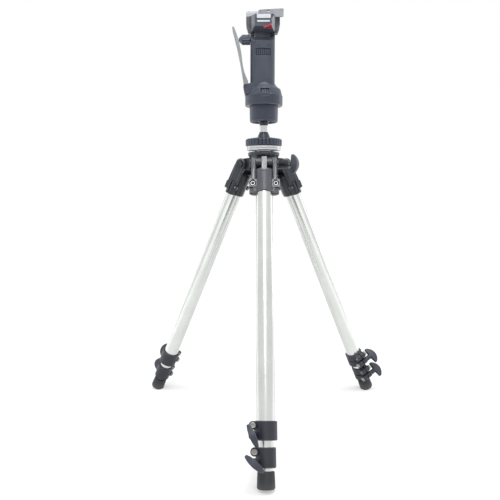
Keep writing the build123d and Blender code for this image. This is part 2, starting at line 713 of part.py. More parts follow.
# Grip: flared shoulder, column, lever block, clevis and window for the friction ring
grip_left = grip_x - grip_width / 2
grip_right = grip_x + grip_width / 2
with BuildPart() as grip_housing:
    with BuildSketch(Plane.XZ):
        with BuildLine():
            shoulder_foot = pivot_height + rim_top
            Polyline(
                (grip_right, pivot_height + shoulder_top),
                (0, pivot_height + shoulder_top),
                (0, shoulder_foot),
                (rim_r - rim_edge, shoulder_foot),
                (shoulder_corner[0], pivot_height + shoulder_corner[1]),
                (shoulder_corner[0] - 1, pivot_height + shoulder_corner[1] + 1),
            )
            ThreePointArc(
                (shoulder_corner[0] - 1, pivot_height + shoulder_corner[1] + 1),
                (shoulder_waist[0], pivot_height + shoulder_waist[1]),
                (grip_right, pivot_height + shoulder_top),
            )
        make_face()
    revolve(axis=Axis.Z)
    with BuildSketch(Plane.XY.offset(shoulder_foot)):
        with Locations((grip_x, 0)):
            RectangleRounded(grip_width, grip_depth, grip_corner)
    extrude(amount=tilt_height + tongue_r - slide_gap - rim_top)
    with BuildSketch(Plane.XZ):
        with BuildLine():
            Polyline(
                (grip_x, shoulder_foot),
                (lever_pivot[0] - 1, shoulder_foot),
                (lever_pivot[0] - 2, shoulder_foot + 1),
                (lever_pivot[0] - lever_boss_r, pivot_height + lever_pivot[1] + 1),
                (lever_pivot[0] - lever_boss_r + 2, pivot_height + lever_cheek_top),
                (grip_left, pivot_height + lever_cheek_top + 2),
                (grip_x, pivot_height + lever_cheek_top + 2),
                close=True,
            )
        make_face()
    extrude(amount=lever_block_half, both=True)
    slot_floor = pivot_height + lever_pivot[1] - lever_boss_r - slide_gap
    with BuildSketch(Plane.XZ):
        with BuildLine():
            Polyline(
                (lever_tip[0], slot_floor),
                (grip_left - slide_gap, slot_floor),
                (grip_left - slide_gap, pivot_height + shoulder_top),
                (lever_tip[0], pivot_height + shoulder_top),
                close=True,
            )
        make_face()
    extrude(amount=lever_half_width + slide_gap, both=True, mode=Mode.SUBTRACT)
    with Locations((lever_pivot[0], 0, pivot_height + lever_pivot[1])):
        Cylinder(lever_pin_r + running_fit, 2 * cut, rotation=(90, 0, 0), mode=Mode.SUBTRACT)
    with BuildSketch(Plane.YZ):
        with BuildLine():
            Polyline(
                (tongue_r - slide_gap, head_top),
                (tongue_r - slide_gap, tilt_z - tongue_r),
                (rear_ledge - slide_gap, rear_floor),
                (grip_depth, rear_floor),
                (grip_depth, head_top),
                close=True,
            )
        make_face()
    extrude(amount=cut, both=True, mode=Mode.SUBTRACT)
    with BuildSketch(Plane.YZ):
        with BuildLine():
            Polyline(
                (-grip_depth, pivot_height + grip_front_top),
                (-16.5, pivot_height + grip_front_top),
                (-tongue_r + 0.9, tilt_z + 2.8),
                (-tongue_r / 2, tilt_z + tongue_r - 1.6),
                (0, tilt_z + tongue_r - slide_gap),
                (0, head_top),
                (-grip_depth, head_top),
                close=True,
            )
        make_face()
    extrude(amount=cut, both=True, mode=Mode.SUBTRACT)
    with BuildSketch(Plane.YZ):
        with BuildLine():
            Line((0, tilt_z), (0, tilt_z + 20))
            Polyline((0, tilt_z + 20), (20, tilt_z + 20), (20, tilt_z), (0, tilt_z))
        make_face()
        with Locations((0, tilt_z)):
            Circle(tongue_r - slide_gap, mode=Mode.SUBTRACT)
    extrude(amount=cut, both=True, mode=Mode.SUBTRACT)
    with BuildSketch(Plane.XY.offset(tilt_z - tongue_sweep - slide_gap)):
        with Locations((grip_x, -tongue_r)):
            Rectangle(2 * (tongue_half + slide_gap), 2 * cut, align=(Align.CENTER, Align.MIN))
    extrude(amount=cut, mode=Mode.SUBTRACT)
    with Locations((0, 0, tilt_z)):
        Cylinder(tilt_bolt_r + running_fit, 2 * cut, rotation=(0, 90, 0), mode=Mode.SUBTRACT)
    with Locations((0, 0, shoulder_foot - 1)):
        plunger_room = plunger_top + plunger_lift + 1.5 - rim_top
        Cylinder(plunger_r + running_fit, plunger_room, align=UP, mode=Mode.SUBTRACT)
        ring_room = friction_ring_top + slide_gap - rim_top + 1
        Cylinder(friction_ring_r + slide_gap, ring_room, align=UP, mode=Mode.SUBTRACT)
    with Locations((friction_window_x, -rim_r, pivot_height + friction_window_height)):
        Box(friction_window[0], 2 * (rim_r - friction_ring_r + 2), friction_window[1], mode=Mode.SUBTRACT)
    with Locations((badge_window_x, -grip_depth / 2, pivot_height + badge_window_height)):
        Box(badge_window[0], 2 * badge_window_depth, badge_window[1], mode=Mode.SUBTRACT)
        with Locations((0, badge_window_depth, 0)):
            with GridLocations(badge_rib_pitch, 1, badge_ribs, 1):
                Box(badge_rib_pitch / 2, badge_window_depth, badge_window[1] - 2)

# Friction ring in the shoulder, its ribbed edge in the window
with BuildPart() as friction_ring:
    section = half_section(
        (plunger_r + 1.5, pivot_height + friction_ring_bottom),
        (friction_ring_r, pivot_height + friction_ring_bottom),
        (friction_ring_r, pivot_height + friction_ring_top),
        (plunger_r + 1.5, pivot_height + friction_ring_top),
    )
    revolve(section, axis=Axis.Z)
    with BuildSketch(Plane.XY.offset(pivot_height + friction_ring_bottom)):
        with PolarLocations(friction_ring_r, friction_ribs):
            RegularPolygon(friction_groove, 4)
    extrude(amount=friction_ring_top - friction_ring_bottom, mode=Mode.SUBTRACT)

# Grip lever: a tapered blade on a barrel, slotted to pass the tilt knob
with BuildPart() as grip_lever:
    with BuildSketch(Plane(origin=(0, 0, pivot_height), x_dir=(1, 0, 0), z_dir=(0, -1, 0))):
        with BuildLine():
            inner_tip = (lever_tip[0] + lever_blade, lever_tip[1] + 0.5)
            ThreePointArc(lever_foot, lever_bulge, lever_tip)
            Line(lever_tip, inner_tip)
            ThreePointArc(inner_tip, lever_waist, lever_grip)
            ThreePointArc(lever_grip, lever_hollow, lever_heel)
            Polyline(
                lever_heel,
                (lever_pivot[0] + lever_boss_r - slide_gap, lever_pivot[1]),
                (lever_pivot[0] - lever_boss_r + slide_gap, lever_pivot[1]),
                lever_foot,
            )
        make_face()
    extrude(amount=lever_half_width, both=True)
    fillet(grip_lever.edges().filter_by(Axis.Y, reverse=True).group_by(Axis.Z)[-1], 1.0)
    with Locations((lever_pivot[0], 0, pivot_height + lever_pivot[1])):
        Cylinder(lever_boss_r, 2 * lever_half_width, rotation=(90, 0, 0))
        Cylinder(lever_pin_r + running_fit, 2 * cut, rotation=(90, 0, 0), mode=Mode.SUBTRACT)
    with BuildSketch(Plane.YZ.offset(lever_tip[0])):
        with Locations((0, tilt_z + 1)):
            SlotOverall(lever_slot, 2 * knob_r + 3.2, rotation=90)
    extrude(amount=cut, mode=Mode.SUBTRACT)

with BuildPart() as lever_pin:
    with Locations((lever_pivot[0], 0, pivot_height + lever_pivot[1])):
        Cylinder(lever_pin_r, 2 * lever_block_half - 0.4, rotation=(90, 0, 0))

# Tilt bolt through the clevis and its fluted knob
with BuildPart() as tilt_bolt:
    with Locations(Location((grip_left - knob_length + 5, 0, tilt_z), (0, 90, 0))):
        Cylinder(tilt_bolt_r, grip_right - grip_left + knob_length - 6, align=UP)

with BuildPart() as tilt_knob:
    with BuildSketch(Plane.XZ):
        with BuildLine():
            knob_face = grip_left - slide_gap
            Polyline(
                (knob_face, tilt_z),
                (knob_face, tilt_z + knob_r - 0.6),
                (knob_face - 0.6, tilt_z + knob_r),
                (knob_face - knob_length + knob_cone, tilt_z + knob_r),
                (knob_face - knob_length, tilt_z + 2.2),
                (knob_face - knob_length, tilt_z),
                close=True,
            )
        make_face()
    revolve(axis=Axis((0, 0, tilt_z), (1, 0, 0)))
    with BuildSketch(Plane(origin=(knob_face, 0, tilt_z), x_dir=(0, 1, 0), z_dir=(-1, 0, 0))):
        with PolarLocations(knob_r + 0.7, knob_flutes):
            Circle(1.5)
    extrude(amount=knob_length, mode=Mode.SUBTRACT)
    with Locations(Location((knob_face, 0, tilt_z), (0, -90, 0))):
        Cylinder(tilt_bolt_r + running_fit, knob_length - 5, align=UP, mode=Mode.SUBTRACT)

# Hexagonal platform with flat flanks, its tongue and the recess that the plate's boss drops into
platform_low = tilt_z + tongue_r
catch_slope = atan2(undercut_height + pivot_height - platform_low, platform_flat_r - tongue_r)
catch_plane = Plane(
    origin=(0, -0.5 * (tongue_r + platform_flat_r), 0.5 * (platform_low + pivot_height + undercut_height)),
    x_dir=(1, 0, 0),
    z_dir=(0, -sin(catch_slope), -cos(catch_slope)),
)
with BuildSketch(Plane.XY.offset(pivot_height + platform_waist)) as platform_plan:
    with Locations((platform_x, 0)):
        RegularPolygon(platform_corner_r, 6)
        Rectangle(2 * plate_half_width, 2 * platform_flank)
with BuildPart() as platform:
    extrude(platform_plan.sketch, amount=platform_rim - platform_waist)
    extrude(platform_plan.sketch, amount=platform_low - pivot_height - platform_waist, taper=platform_taper)
    with BuildSketch(Plane.YZ):
        with BuildLine():
            Polyline(
                (-tongue_r, platform_low),
                (-platform_flat_r - 6, platform_low + (platform_flat_r + 6 - tongue_r) * tan(catch_slope)),
                (-platform_flat_r - 6, platform_low - 2),
                (-tongue_r, platform_low - 2),
                close=True,
            )
        make_face()
        mirror(about=Plane.YZ)
    extrude(amount=cut, both=True, mode=Mode.SUBTRACT)
    with BuildSketch(Plane.YZ.offset(grip_x)):
        with Locations((0, tilt_z)):
            Circle(tongue_r)
        with Locations((0, tilt_z + tongue_r / 2 + 1)):
            Rectangle(2 * tongue_r, tongue_r + 2)
    extrude(amount=tongue_half, both=True)
    with Locations((0, 0, tilt_z)):
        Cylinder(tilt_bolt_r + running_fit, 2 * cut, rotation=(0, 90, 0), mode=Mode.SUBTRACT)
    with BuildSketch(Plane.XY.offset(pivot_height + platform_rim)):
        with Locations((platform_x, plate_y)):
            RegularPolygon(plate_boss_corner_r + slide_gap, 6)
    extrude(amount=-(plate_boss_depth + slide_gap), mode=Mode.SUBTRACT)
    with Locations((qr_pivot[0], qr_pivot[1], pivot_height + platform_rim)):
        Cylinder(qr_pin_r + running_fit, qr_pin_depth, align=DOWN, mode=Mode.SUBTRACT)
    with BuildSketch(catch_plane):
        with Locations(catch_pivot):
            Circle(catch_pin_r + running_fit)
    extrude(amount=-catch_pin_depth - slide_gap, mode=Mode.SUBTRACT)

# Camera plate: straight behind the lever, hexagonal to the rear, with a boss hollow for the screw's head
plate_low_z = pivot_height + platform_rim
plate_top_z = pivot_height + plate_top
with BuildSketch() as plate_plan:
    with BuildLine(Plane((platform_x, 0, 0))):
        Polyline(
            (0, -platform_flank),
            (plate_half_width, -platform_flank),
            (plate_half_width, platform_flank),
            (platform_corner_r / 2, platform_flat_r),
            (0, platform_flat_r),
        )
        mirror(about=Plane.YZ.offset(platform_x))
    make_face()
with BuildPart() as camera_plate:
    extrude(plate_plan.sketch.moved(Location((0, 0, plate_low_z))), amount=plate_top - platform_rim)
    chamfer(camera_plate.faces().sort_by(Axis.Z)[-1].edges(), plate_edge)
    with BuildSketch(Plane.XY.offset(plate_low_z)):
        with Locations((platform_x, plate_y)):
            RegularPolygon(plate_boss_corner_r, 6)
    extrude(amount=-plate_boss_depth)
    with Locations((platform_x, plate_y, plate_low_z - plate_boss_depth)):
        screw_room = camera_screw_head + camera_screw_travel + slide_gap
        Cylinder(camera_screw_head_r + slide_gap, screw_room, align=UP, mode=Mode.SUBTRACT)
        Cylinder(camera_screw_r + 2 * running_fit, cut, align=UP, mode=Mode.SUBTRACT)

with BuildPart() as plate_pad:
    with BuildSketch(Plane.XY.offset(plate_top_z)):
        add(plate_plan.sketch)
        offset(amount=-pad_inset, kind=Kind.INTERSECTION, mode=Mode.REPLACE)
        with Locations((platform_x, plate_y)):
            Circle(camera_screw_r + 4 * slide_gap, mode=Mode.SUBTRACT)
    extrude(amount=pad_thickness)

with BuildPart() as camera_screw:
    with Locations((platform_x, plate_y, plate_low_z - plate_boss_depth)):
        Cylinder(camera_screw_head_r, camera_screw_head, align=UP)
        screw_length = plate_top - platform_rim + plate_boss_depth + pad_thickness - screw_sink
        Cylinder(camera_screw_r, screw_length, align=UP)
        Box(*coin_slot, mode=Mode.SUBTRACT)

# Quick-release lever: a bar along the shelf and a paddle that drops beyond the platform's corner
qr_low = platform_rim + slide_gap
qr_plane = Plane(
    origin=(qr_pivot[0], qr_pivot[1], pivot_height),
    x_dir=(cos(radians(qr_yaw)), sin(radians(qr_yaw)), 0),
    z_dir=(sin(radians(qr_yaw)), -cos(radians(qr_yaw)), 0),
)
with BuildPart() as qr_lever:
    with BuildSketch(qr_plane) as qr_outline:
        with BuildLine():
            Polyline(
                (-qr_tail, qr_low),
                (-qr_tail, qr_tail_top),
                (qr_reach, qr_paddle_top),
                (qr_reach, qr_paddle_bottom),
                (qr_step[1], qr_paddle_bottom),
                (qr_step[0], qr_low),
                close=True,
            )
        make_face()
        fillet(qr_outline.vertices(), qr_corner)
        with Locations(qr_slot_place):
            SlotOverall(*qr_slot, mode=Mode.SUBTRACT)
    extrude(amount=qr_thickness / 2, both=True)
    with Locations((qr_pivot[0], qr_pivot[1], pivot_height + qr_low)):
        Cylinder(qr_barrel_r, qr_tail_top - qr_low, align=UP)
        Cylinder(qr_pin_r + running_fit, qr_tail_top - qr_low, align=UP, mode=Mode.SUBTRACT)

# Red safety catch under the front edge
with BuildPart() as safety_catch:
    with BuildSketch(catch_plane.offset(slide_gap)) as catch_plan:
        with BuildLine():
            Polyline(*catch_outline, close=True)
        make_face()
        fillet(catch_plan.vertices(), catch_corner)
    extrude(amount=catch_thickness)
    with BuildSketch(catch_plane):
        with Locations(catch_pivot):
            Circle(catch_pin_r + running_fit)
    extrude(amount=cut, both=True, mode=Mode.SUBTRACT)

# Pins of the lever and the catch
with BuildPart() as platform_pins:
    with Locations((qr_pivot[0], qr_pivot[1], pivot_height + platform_rim - qr_pin_depth)):
        Cylinder(qr_pin_r, qr_tail_top - platform_rim + qr_pin_depth, align=UP)
    with BuildSketch(catch_plane.offset(-catch_pin_depth)):
        with Locations(catch_pivot):
            Circle(catch_pin_r)
    extrude(amount=catch_pin_depth + slide_gap + catch_thickness)

# The pieces by name: head and shoulder first, then each leg turned to its place
pieces = {
    "hub_casting": hub_casting.part,
    "column_bushing": column_bushing.part,
    "leg_pivot_bolts": leg_pivot_bolts.part,
    "column_lock_screw": column_lock_screw,
    "column_tube": column_tube.part,
    "column_end_cap": column_end_cap.part,
    "column_top_plate": column_top_plate.part,
    "head_base": head_base.part,
    "ball_stem": ball_stem.part,
    "ball": ball.part,
    "brake_shoe": brake_shoe.part,
    "brake_plunger": brake_plunger.part,
    "socket_liner": socket_liner.part,
    "ball_housing": ball_housing.part,
    "grip_housing": grip_housing.part,
    "friction_ring": friction_ring.part,
    "grip_lever": grip_lever.part,
    "lever_pin": lever_pin.part,
    "tilt_bolt": tilt_bolt.part,
    "tilt_knob": tilt_knob.part,
    "platform": platform.part,
    "platform_pins": platform_pins.part,
    "camera_plate": camera_plate.part,
    "plate_pad": plate_pad.part,
    "camera_screw": camera_screw.part,
    "qr_lever": qr_lever.part,
    "safety_catch": safety_catch.part,
}
upper_wing_seat = (-upper_lug_reach, -lug_half_depth, upper_clamp_bottom + lug_edge - leg_length)
lower_wing_seat = (-lower_lug_reach, -lug_half_depth, lower_clamp_bottom + lug_edge - leg_length)
wing_seats = {"upper_wing": upper_wing_seat, "lower_wing": lower_wing_seat}
leg_pieces = {
    "casting": leg_casting.part,
    "latch": leg_latch.part,
    "bolts": leg_bolts.part,
    "upper_tube": upper_tube,
    "upper_clamp": upper_clamp,
    "middle_tube": middle_tube,
    "lower_clamp": lower_clamp,
    "lower_tube": lower_tube,
    "foot": leg_foot.part,
}
for side, azimuth in leg_azimuths.items():
    to_leg = Rot(0, 0, azimuth) * leg_frame.location
    for name, piece in leg_pieces.items():
        pieces[f"{side}_{name}"] = to_leg * piece
    for (name, seat), turn in zip(wing_seats.items(), wing_rest[side]):
        pieces[f"{side}_{name}"] = to_leg * Location(seat, (90, 0, 0)) * Rot(0, 0, turn) * clamp_wing

# Frame: origin on the floor at the middle of the footprint
box = Compound(list(pieces.values())).bounding_box()
to_frame = Location((-box.center().X, -box.center().Y, 0))
os.makedirs("parts", exist_ok=True)
for name, piece in pieces.items():
    placed = piece.moved(to_frame)
    placed.label = name
    export_step(placed, f"parts/{name}.step")
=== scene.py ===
"""Looks of a camera tripod with a grip-action ball head, built round its CAD frame."""

import json
import logging
import math
from dataclasses import dataclass, replace
from enum import Enum

import bmesh
import bpy
from mathutils import Matrix, Vector


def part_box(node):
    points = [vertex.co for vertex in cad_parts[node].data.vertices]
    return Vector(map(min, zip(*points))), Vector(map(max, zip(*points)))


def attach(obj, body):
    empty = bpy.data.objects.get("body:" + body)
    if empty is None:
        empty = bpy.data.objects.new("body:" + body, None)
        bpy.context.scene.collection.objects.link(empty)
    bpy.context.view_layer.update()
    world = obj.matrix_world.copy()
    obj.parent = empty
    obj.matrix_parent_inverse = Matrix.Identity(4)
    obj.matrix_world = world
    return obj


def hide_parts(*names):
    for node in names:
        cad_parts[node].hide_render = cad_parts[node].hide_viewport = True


LOG = logging.getLogger("tripod")
MM = 0.001
MERGE_MM = 0.005            # CAD facets' corners closer than this are one corner
NEAR_MM = 0.01              # points closer than this to a plane lie on it
FLAT_DEG = 0.4              # facets turned by less than this are one face
ROUND_DEG = 32.0            # edges steeper than this are rounded
NUT_SHARE = 1.7             # a nut's width across flats over its screw head's radius
DRAWN_SHARE = 0.015         # how quickly a drawn surface changes along its lines, over how quickly across them
SIDES = ("front", "right", "left")
RUBBED = "rubbed"           # face attribute that marks the rounded edges of a piece

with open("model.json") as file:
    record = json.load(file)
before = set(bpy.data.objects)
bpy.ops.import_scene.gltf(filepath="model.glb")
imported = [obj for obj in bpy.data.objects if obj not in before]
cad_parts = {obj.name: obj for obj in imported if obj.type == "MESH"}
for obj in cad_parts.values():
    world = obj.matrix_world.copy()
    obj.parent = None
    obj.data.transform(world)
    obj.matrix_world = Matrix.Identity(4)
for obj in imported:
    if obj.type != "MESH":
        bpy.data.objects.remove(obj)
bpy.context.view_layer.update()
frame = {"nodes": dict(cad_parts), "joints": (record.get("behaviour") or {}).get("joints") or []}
JOINTS = {joint["name"]: joint for joint in frame["joints"]}


def column_axis() -> Vector:
    """Finds the centre column's axis at the height of the leg pivots, in the row frame."""
    low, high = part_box("column_tube")
    return Vector(((low[0] + high[0]) / 2, (low[1] + high[1]) / 2, JOINTS["front_leg_swing"]["pos_m"][2]))


AXIS = column_axis()


def at(x_mm: float, y_mm: float, rise_mm: float) -> Vector:
    """Gives the row-frame place of a point measured from the column's axis and the leg pivots' height."""
    return AXIS + Vector((x_mm, y_mm, rise_mm)) * MM


class Grain(Enum):
    """How a surface was made, which sets the way its fine pattern runs."""

    STIPPLED = "sprayed or spark-eroded, the same every way"
    DRAWN = "lines along one direction"
    TURNED = "lines round one axis"


def linear(hex_colour: str) -> tuple[float, float, float, float]:
    """Turns an sRGB colour to linear light.

    Args:
        hex_colour: six hex digits, with or without a leading hash sign.

    Returns:
        Linear red, green, blue and an alpha of 1.
    """
    digits = hex_colour.lstrip("#")
    channels = [int(digits[i:i + 2], 16) / 255 for i in (0, 2, 4)]
    red, green, blue = (c / 12.92 if c <= 0.04045 else ((c + 0.055) / 1.055) ** 2.4 for c in channels)
    return red, green, blue, 1.0


def add_node(tree: bpy.types.NodeTree, kind: str, settings: dict | None = None,
             links: dict | None = None) -> bpy.types.Node:
    """Adds a shader node with its settings and links.

    Args:
        tree: the node tree that takes the node.
        kind: the node's type name.
        settings: property names, or input names and numbers, with their values.
        links: input names or numbers with the outputs that feed them.

    Returns:
        The new node.
    """
    node = tree.nodes.new(kind)
    for key, value in (settings or {}).items():
        if isinstance(key, str) and hasattr(node, key):
            setattr(node, key, value)
        else:
            node.inputs[key].default_value = value
    for key, output in (links or {}).items():
        tree.links.new(output, node.inputs[key])
    return node


@dataclass(frozen=True)
class Finish:
    """One surface finish and the procedural material that shows it.

    Sizes are millimetres and colours are sRGB hex. A grain finer than about half a millimetre can't show at the
    distance of the main view, so each is drawn a little coarser than the real one.
    """

    name: str
    slot: str
    colour: str
    shade: str
    roughness: float
    spread: float = 0.08
    metallic: float = 0.0
    grain: Grain = Grain.STIPPLED
    grain_mm: float = 0.7
    depth_mm: float = 0.02
    mottle_mm: float = 16.0
    worn: str | None = None
    along: tuple[float, float, float] = (0.0, 0.0, 1.0)
    centre: tuple[float, float, float] = (0.0, 0.0, 0.0)
    coat: float = 0.0
    streak: float = 0.3
    scuff_mm: float = 2.2

    def material(self) -> bpy.types.Material:
        """Makes the finish's material, once.

        Returns:
            The material of this finish's name.
        """
        made = bpy.data.materials.get(self.name)
        if made is not None:
            return made
        made = bpy.data.materials.new(self.name)
        made.use_nodes = True
        tree = made.node_tree
        tree.nodes.clear()
        object_place = add_node(tree, "ShaderNodeTexCoord").outputs["Object"]
        turn = Vector(self.along).rotation_difference(Vector((0, 0, 1))).to_matrix()
        place = add_node(tree, "ShaderNodeMapping",
                         {"Rotation": turn.to_euler(), "Location": -(turn @ Vector(self.centre))},
                         {"Vector": object_place}).outputs["Vector"]
        mottle = add_node(tree, "ShaderNodeTexNoise", {"Scale": 1 / (self.mottle_mm * MM), "Detail": 5.0},
                          {"Vector": place}).outputs["Fac"]
        fine = self.fine_pattern(tree, place)
        mixed = add_node(tree, "ShaderNodeMix", {0: self.streak}, {2: mottle, 3: fine}).outputs[0]
        tone = add_node(tree, "ShaderNodeMapRange", {1: 0.38, 2: 0.62}, {0: mixed}).outputs[0]
        colour = add_node(tree, "ShaderNodeMix", {"data_type": "RGBA", 6: linear(self.colour), 7: linear(self.shade)},
                          {0: tone}).outputs[2]
        colour = self.weathered(tree, colour, mottle, place)
        rough = add_node(tree, "ShaderNodeMapRange",
                         {1: 0.3, 2: 0.7, 3: self.roughness - self.spread, 4: self.roughness + self.spread},
                         {0: fine}).outputs[0]
        bump = add_node(tree, "ShaderNodeBump", {"Distance": self.depth_mm * MM}, {"Height": fine}).outputs[0]
        surface = add_node(tree, "ShaderNodeBsdfPrincipled", {"Metallic": self.metallic, "Coat Weight": self.coat},
                           {"Base Color": colour, "Roughness": rough, "Normal": bump})
        add_node(tree, "ShaderNodeOutputMaterial", links={"Surface": surface.outputs["BSDF"]})
        return made

    def fine_pattern(self, tree: bpy.types.NodeTree, place: bpy.types.NodeSocket) -> bpy.types.NodeSocket:
        """Adds the grain that the finish's making leaves.

        Args:
            tree: the material's node tree.
            place: coordinates with the grain's own direction along Z.

        Returns:
            The grain's height, about 0 to 1.
        """
        if self.grain is Grain.DRAWN:
            place = add_node(tree, "ShaderNodeMapping", {"Scale": (1.0, 1.0, DRAWN_SHARE)}, {0: place}).outputs[0]
        if self.grain is Grain.TURNED:
            flat = add_node(tree, "ShaderNodeVectorMath", {"operation": "MULTIPLY", 1: (1, 1, 0)}, {0: place})
            radius = add_node(tree, "ShaderNodeVectorMath", {"operation": "LENGTH"}, {0: flat.outputs[0]})
            height = add_node(tree, "ShaderNodeSeparateXYZ", links={0: place}).outputs["Z"]
            place = add_node(tree, "ShaderNodeCombineXYZ", links={"X": radius.outputs["Value"], "Z": height}).outputs[0]
        return add_node(tree, "ShaderNodeTexNoise", {"Scale": 1 / (self.grain_mm * MM), "Detail": 3.0},
                        {"Vector": place}).outputs["Fac"]

    def weathered(self, tree: bpy.types.NodeTree, colour: bpy.types.NodeSocket, mottle: bpy.types.NodeSocket,
                  place: bpy.types.NodeSocket) -> bpy.types.NodeSocket:
        """Rubs the finish away along the piece's edges, and scuffs it here and there.

        Args:
            tree: the material's node tree.
            colour: the unworn colour.
            mottle: a broad noise that breaks the wear up.
            place: coordinates in the finish's own frame.

        Returns:
            The colour with its wear.
        """
        if self.worn is None:
            return colour
        edge = add_node(tree, "ShaderNodeAttribute", {"attribute_name": RUBBED}).outputs["Fac"]
        patches = add_node(tree, "ShaderNodeMapRange", {1: 0.4, 2: 0.62, 4: 0.75}, {0: mottle}).outputs[0]
        rubbed = add_node(tree, "ShaderNodeMath", {"operation": "MULTIPLY"}, {0: edge, 1: patches}).outputs[0]
        marks = add_node(tree, "ShaderNodeTexNoise", {"Scale": 1 / (self.scuff_mm * MM), "Detail": 8.0,
                                                      "Roughness": 0.65}, {"Vector": place}).outputs["Fac"]
        scuffs = add_node(tree, "ShaderNodeMapRange", {1: 0.66, 2: 0.78, 4: 0.5}, {0: marks}).outputs[0]
        mask = add_node(tree, "ShaderNodeMath", {"operation": "MAXIMUM"}, {0: rubbed, 1: scuffs}).outputs[0]
        return add_node(tree, "ShaderNodeMix", {"data_type": "RGBA", 7: linear(self.worn)},
                        {0: mask, 6: colour}).outputs[2]


@dataclass(frozen=True)
class DustyRubber(Finish):
    """Rubber that has picked up pale floor dust near its lower end."""

    dust: str = "#77787a"
    dust_top_mm: float = 16.0

    def weathered(self, tree: bpy.types.NodeTree, colour: bpy.types.NodeSocket, mottle: bpy.types.NodeSocket,
                  place: bpy.types.NodeSocket) -> bpy.types.NodeSocket:
        """Lays dust on the lower end, thinning upwards.

        Args:
            tree: the material's node tree.
            colour: the clean colour.
            mottle: a broad noise that breaks the dust up.
            place: coordinates in the finish's own frame.

        Returns:
            The colour with its dust.
        """
        height = add_node(tree, "ShaderNodeSeparateXYZ", links={0: place}).outputs["Z"]
        low = add_node(tree, "ShaderNodeMapRange", {1: self.dust_top_mm * MM, 2: 0.0, 4: 0.8}, {0: height}).outputs[0]
        mask = add_node(tree, "ShaderNodeMath", {"operation": "MULTIPLY"}, {0: low, 1: mottle}).outputs[0]
        return add_node(tree, "ShaderNodeMix", {"data_type": "RGBA", 7: linear(self.dust)},
                        {0: mask, 6: colour}).outputs[2]


# Stove enamel on die castings: near black, a little blue, glossy over a fine orange peel, rubbed to grey on its edges
ENAMEL = Finish("charcoal stove enamel", "textured_paint", "#2b2e34", "#24272c", 0.34, worn="#74777e", grain_mm=1.0,
                depth_mm=0.09)
# The same enamel on the platform, painted lighter for the light it catches, and more rubbed
DECK = replace(ENAMEL, name="charcoal stove enamel deck", colour="#4d515b", shade="#434750", roughness=0.28,
               worn="#a0a3aa", coat=0.6)
# The same enamel on the leg castings, painted a little greyer than the hub's as a lit copy of it, the hub sitting in
# shade
LIT_CASTING = replace(ENAMEL, name="charcoal stove enamel lit casting", colour="#32353d", shade="#2a2d34")
# The front leg's casting, painted paler and flatter than the other two as the most lit copy of the enamel
FRONT_LIT_CASTING = replace(LIT_CASTING, name="charcoal stove enamel pale", colour="#4d5056", shade="#44474d", roughness=0.4)
# The ribs of all three castings, painted between the two in tone as the highlight on their front edges
LIT_RIB = replace(DECK, name="charcoal stove enamel rib", colour="#3a3e46", shade="#32363d", coat=0.3)
# Pads round the bolts, painted a light metallic grey as the highlight on their flat faces
LIT_PAD = Finish("bolt pad painted highlight", "textured_paint", "#696c72", "#5d6066", 0.42, metallic=0.4, grain_mm=0.7,
               worn="#a9abaf")
# Glass-filled nylon: spark-eroded black moulding with a dull sheen
NYLON = Finish("moulded black nylon", "nylon", "#252933", "#1e2129", 0.44, worn="#5b606b", grain_mm=0.8, depth_mm=0.04)
# The leg screws' wings, greyer than the clamps
WING = replace(NYLON, name="greyer black nylon", colour="#383d48", shade="#30343e")
# The column lock's wing, a shade greyer
LOCK_NYLON = replace(NYLON, name="moulded grey nylon", colour="#464b54", shade="#3c4149")
# Soft-touch polymer of the grip: smoother and bluer than the nylon
GRIP = Finish("soft-touch grip polymer", "grip_polymer", "#3f4653", "#363c48", 0.44, worn="#575e6a", grain_mm=0.6,
              depth_mm=0.03)
# The tilt lock's knob, in the same polymer but paler
KNOB = replace(GRIP, name="pale grip polymer", colour="#4b5364", shade="#424959")
# The ball housing and base disc: the same polymer, darker and glossier
HOUSING = replace(GRIP, name="black grip polymer", colour="#353c4a", shade="#2d3340", roughness=0.36, worn="#636a76")
# Bottom of the grip's window: matt black
WINDOW = replace(NYLON, name="matt window polymer", slot="grip_polymer", colour="#131a29", shade="#0e1420",
                 roughness=0.6, worn=None)
# The platform's tongue, painted darker and bluer as the shade under the platform, and unrubbed
SHADED_TONGUE = replace(ENAMEL, name="charcoal stove enamel painted shade", colour="#222a3e", shade="#1b2132", worn=None)
# Ribs of the window's insert, between the window and the grip in tone
INSERT = replace(GRIP, name="satin insert polymer", colour="#495163", shade="#404859", roughness=0.4, worn=None)
# Edge of the camera plate: satin aluminium, dulled by handling
PLATE = Finish("brushed aluminium plate", "plate_aluminium", "#b2b4ba", "#a5a7ad", 0.48, metallic=0.6, worn="#b4b6ba",
               grain=Grain.DRAWN, grain_mm=0.5, depth_mm=0.008, along=(1.0, 0.0, 0.0))
# Satin anodised tube: die lines run down it
TUBE = Finish("satin anodised tube", "tube_aluminium", "#d4d6d4", "#cbcdcb", 0.24, spread=0.05, metallic=1.0,
              grain=Grain.DRAWN, grain_mm=0.6, depth_mm=0.006, mottle_mm=60.0, streak=0.15)
# Bright zinc plate on steel fasteners
ZINC = Finish("bright zinc plate", "zinc_steel", "#9c9c9a", "#8b8a86", 0.4, metallic=1.0, grain_mm=1.5,
              depth_mm=0.004, mottle_mm=5.0)
# Blackened steel of the pivot bolts and pins
BLACKENED = Finish("blackened steel", "zinc_steel", "#4a4b4e", "#3c3d40", 0.36, metallic=0.8, grain_mm=1.2,
                   depth_mm=0.006, worn="#8a8b8d")
# Pressed steel tabs, brushed along their length
LATCH = Finish("brushed steel tab", "latch_steel", "#7b7d80", "#6f7174", 0.5, metallic=0.8, grain=Grain.DRAWN,
               grain_mm=0.5, depth_mm=0.005)
# Turned aluminium: lathe lines round the axis
TURNED = Finish("turned aluminium", "plate_aluminium", "#d2d3d5", "#c4c5c7", 0.34, metallic=1.0, grain=Grain.TURNED,
                grain_mm=0.45, depth_mm=0.01, mottle_mm=30.0)
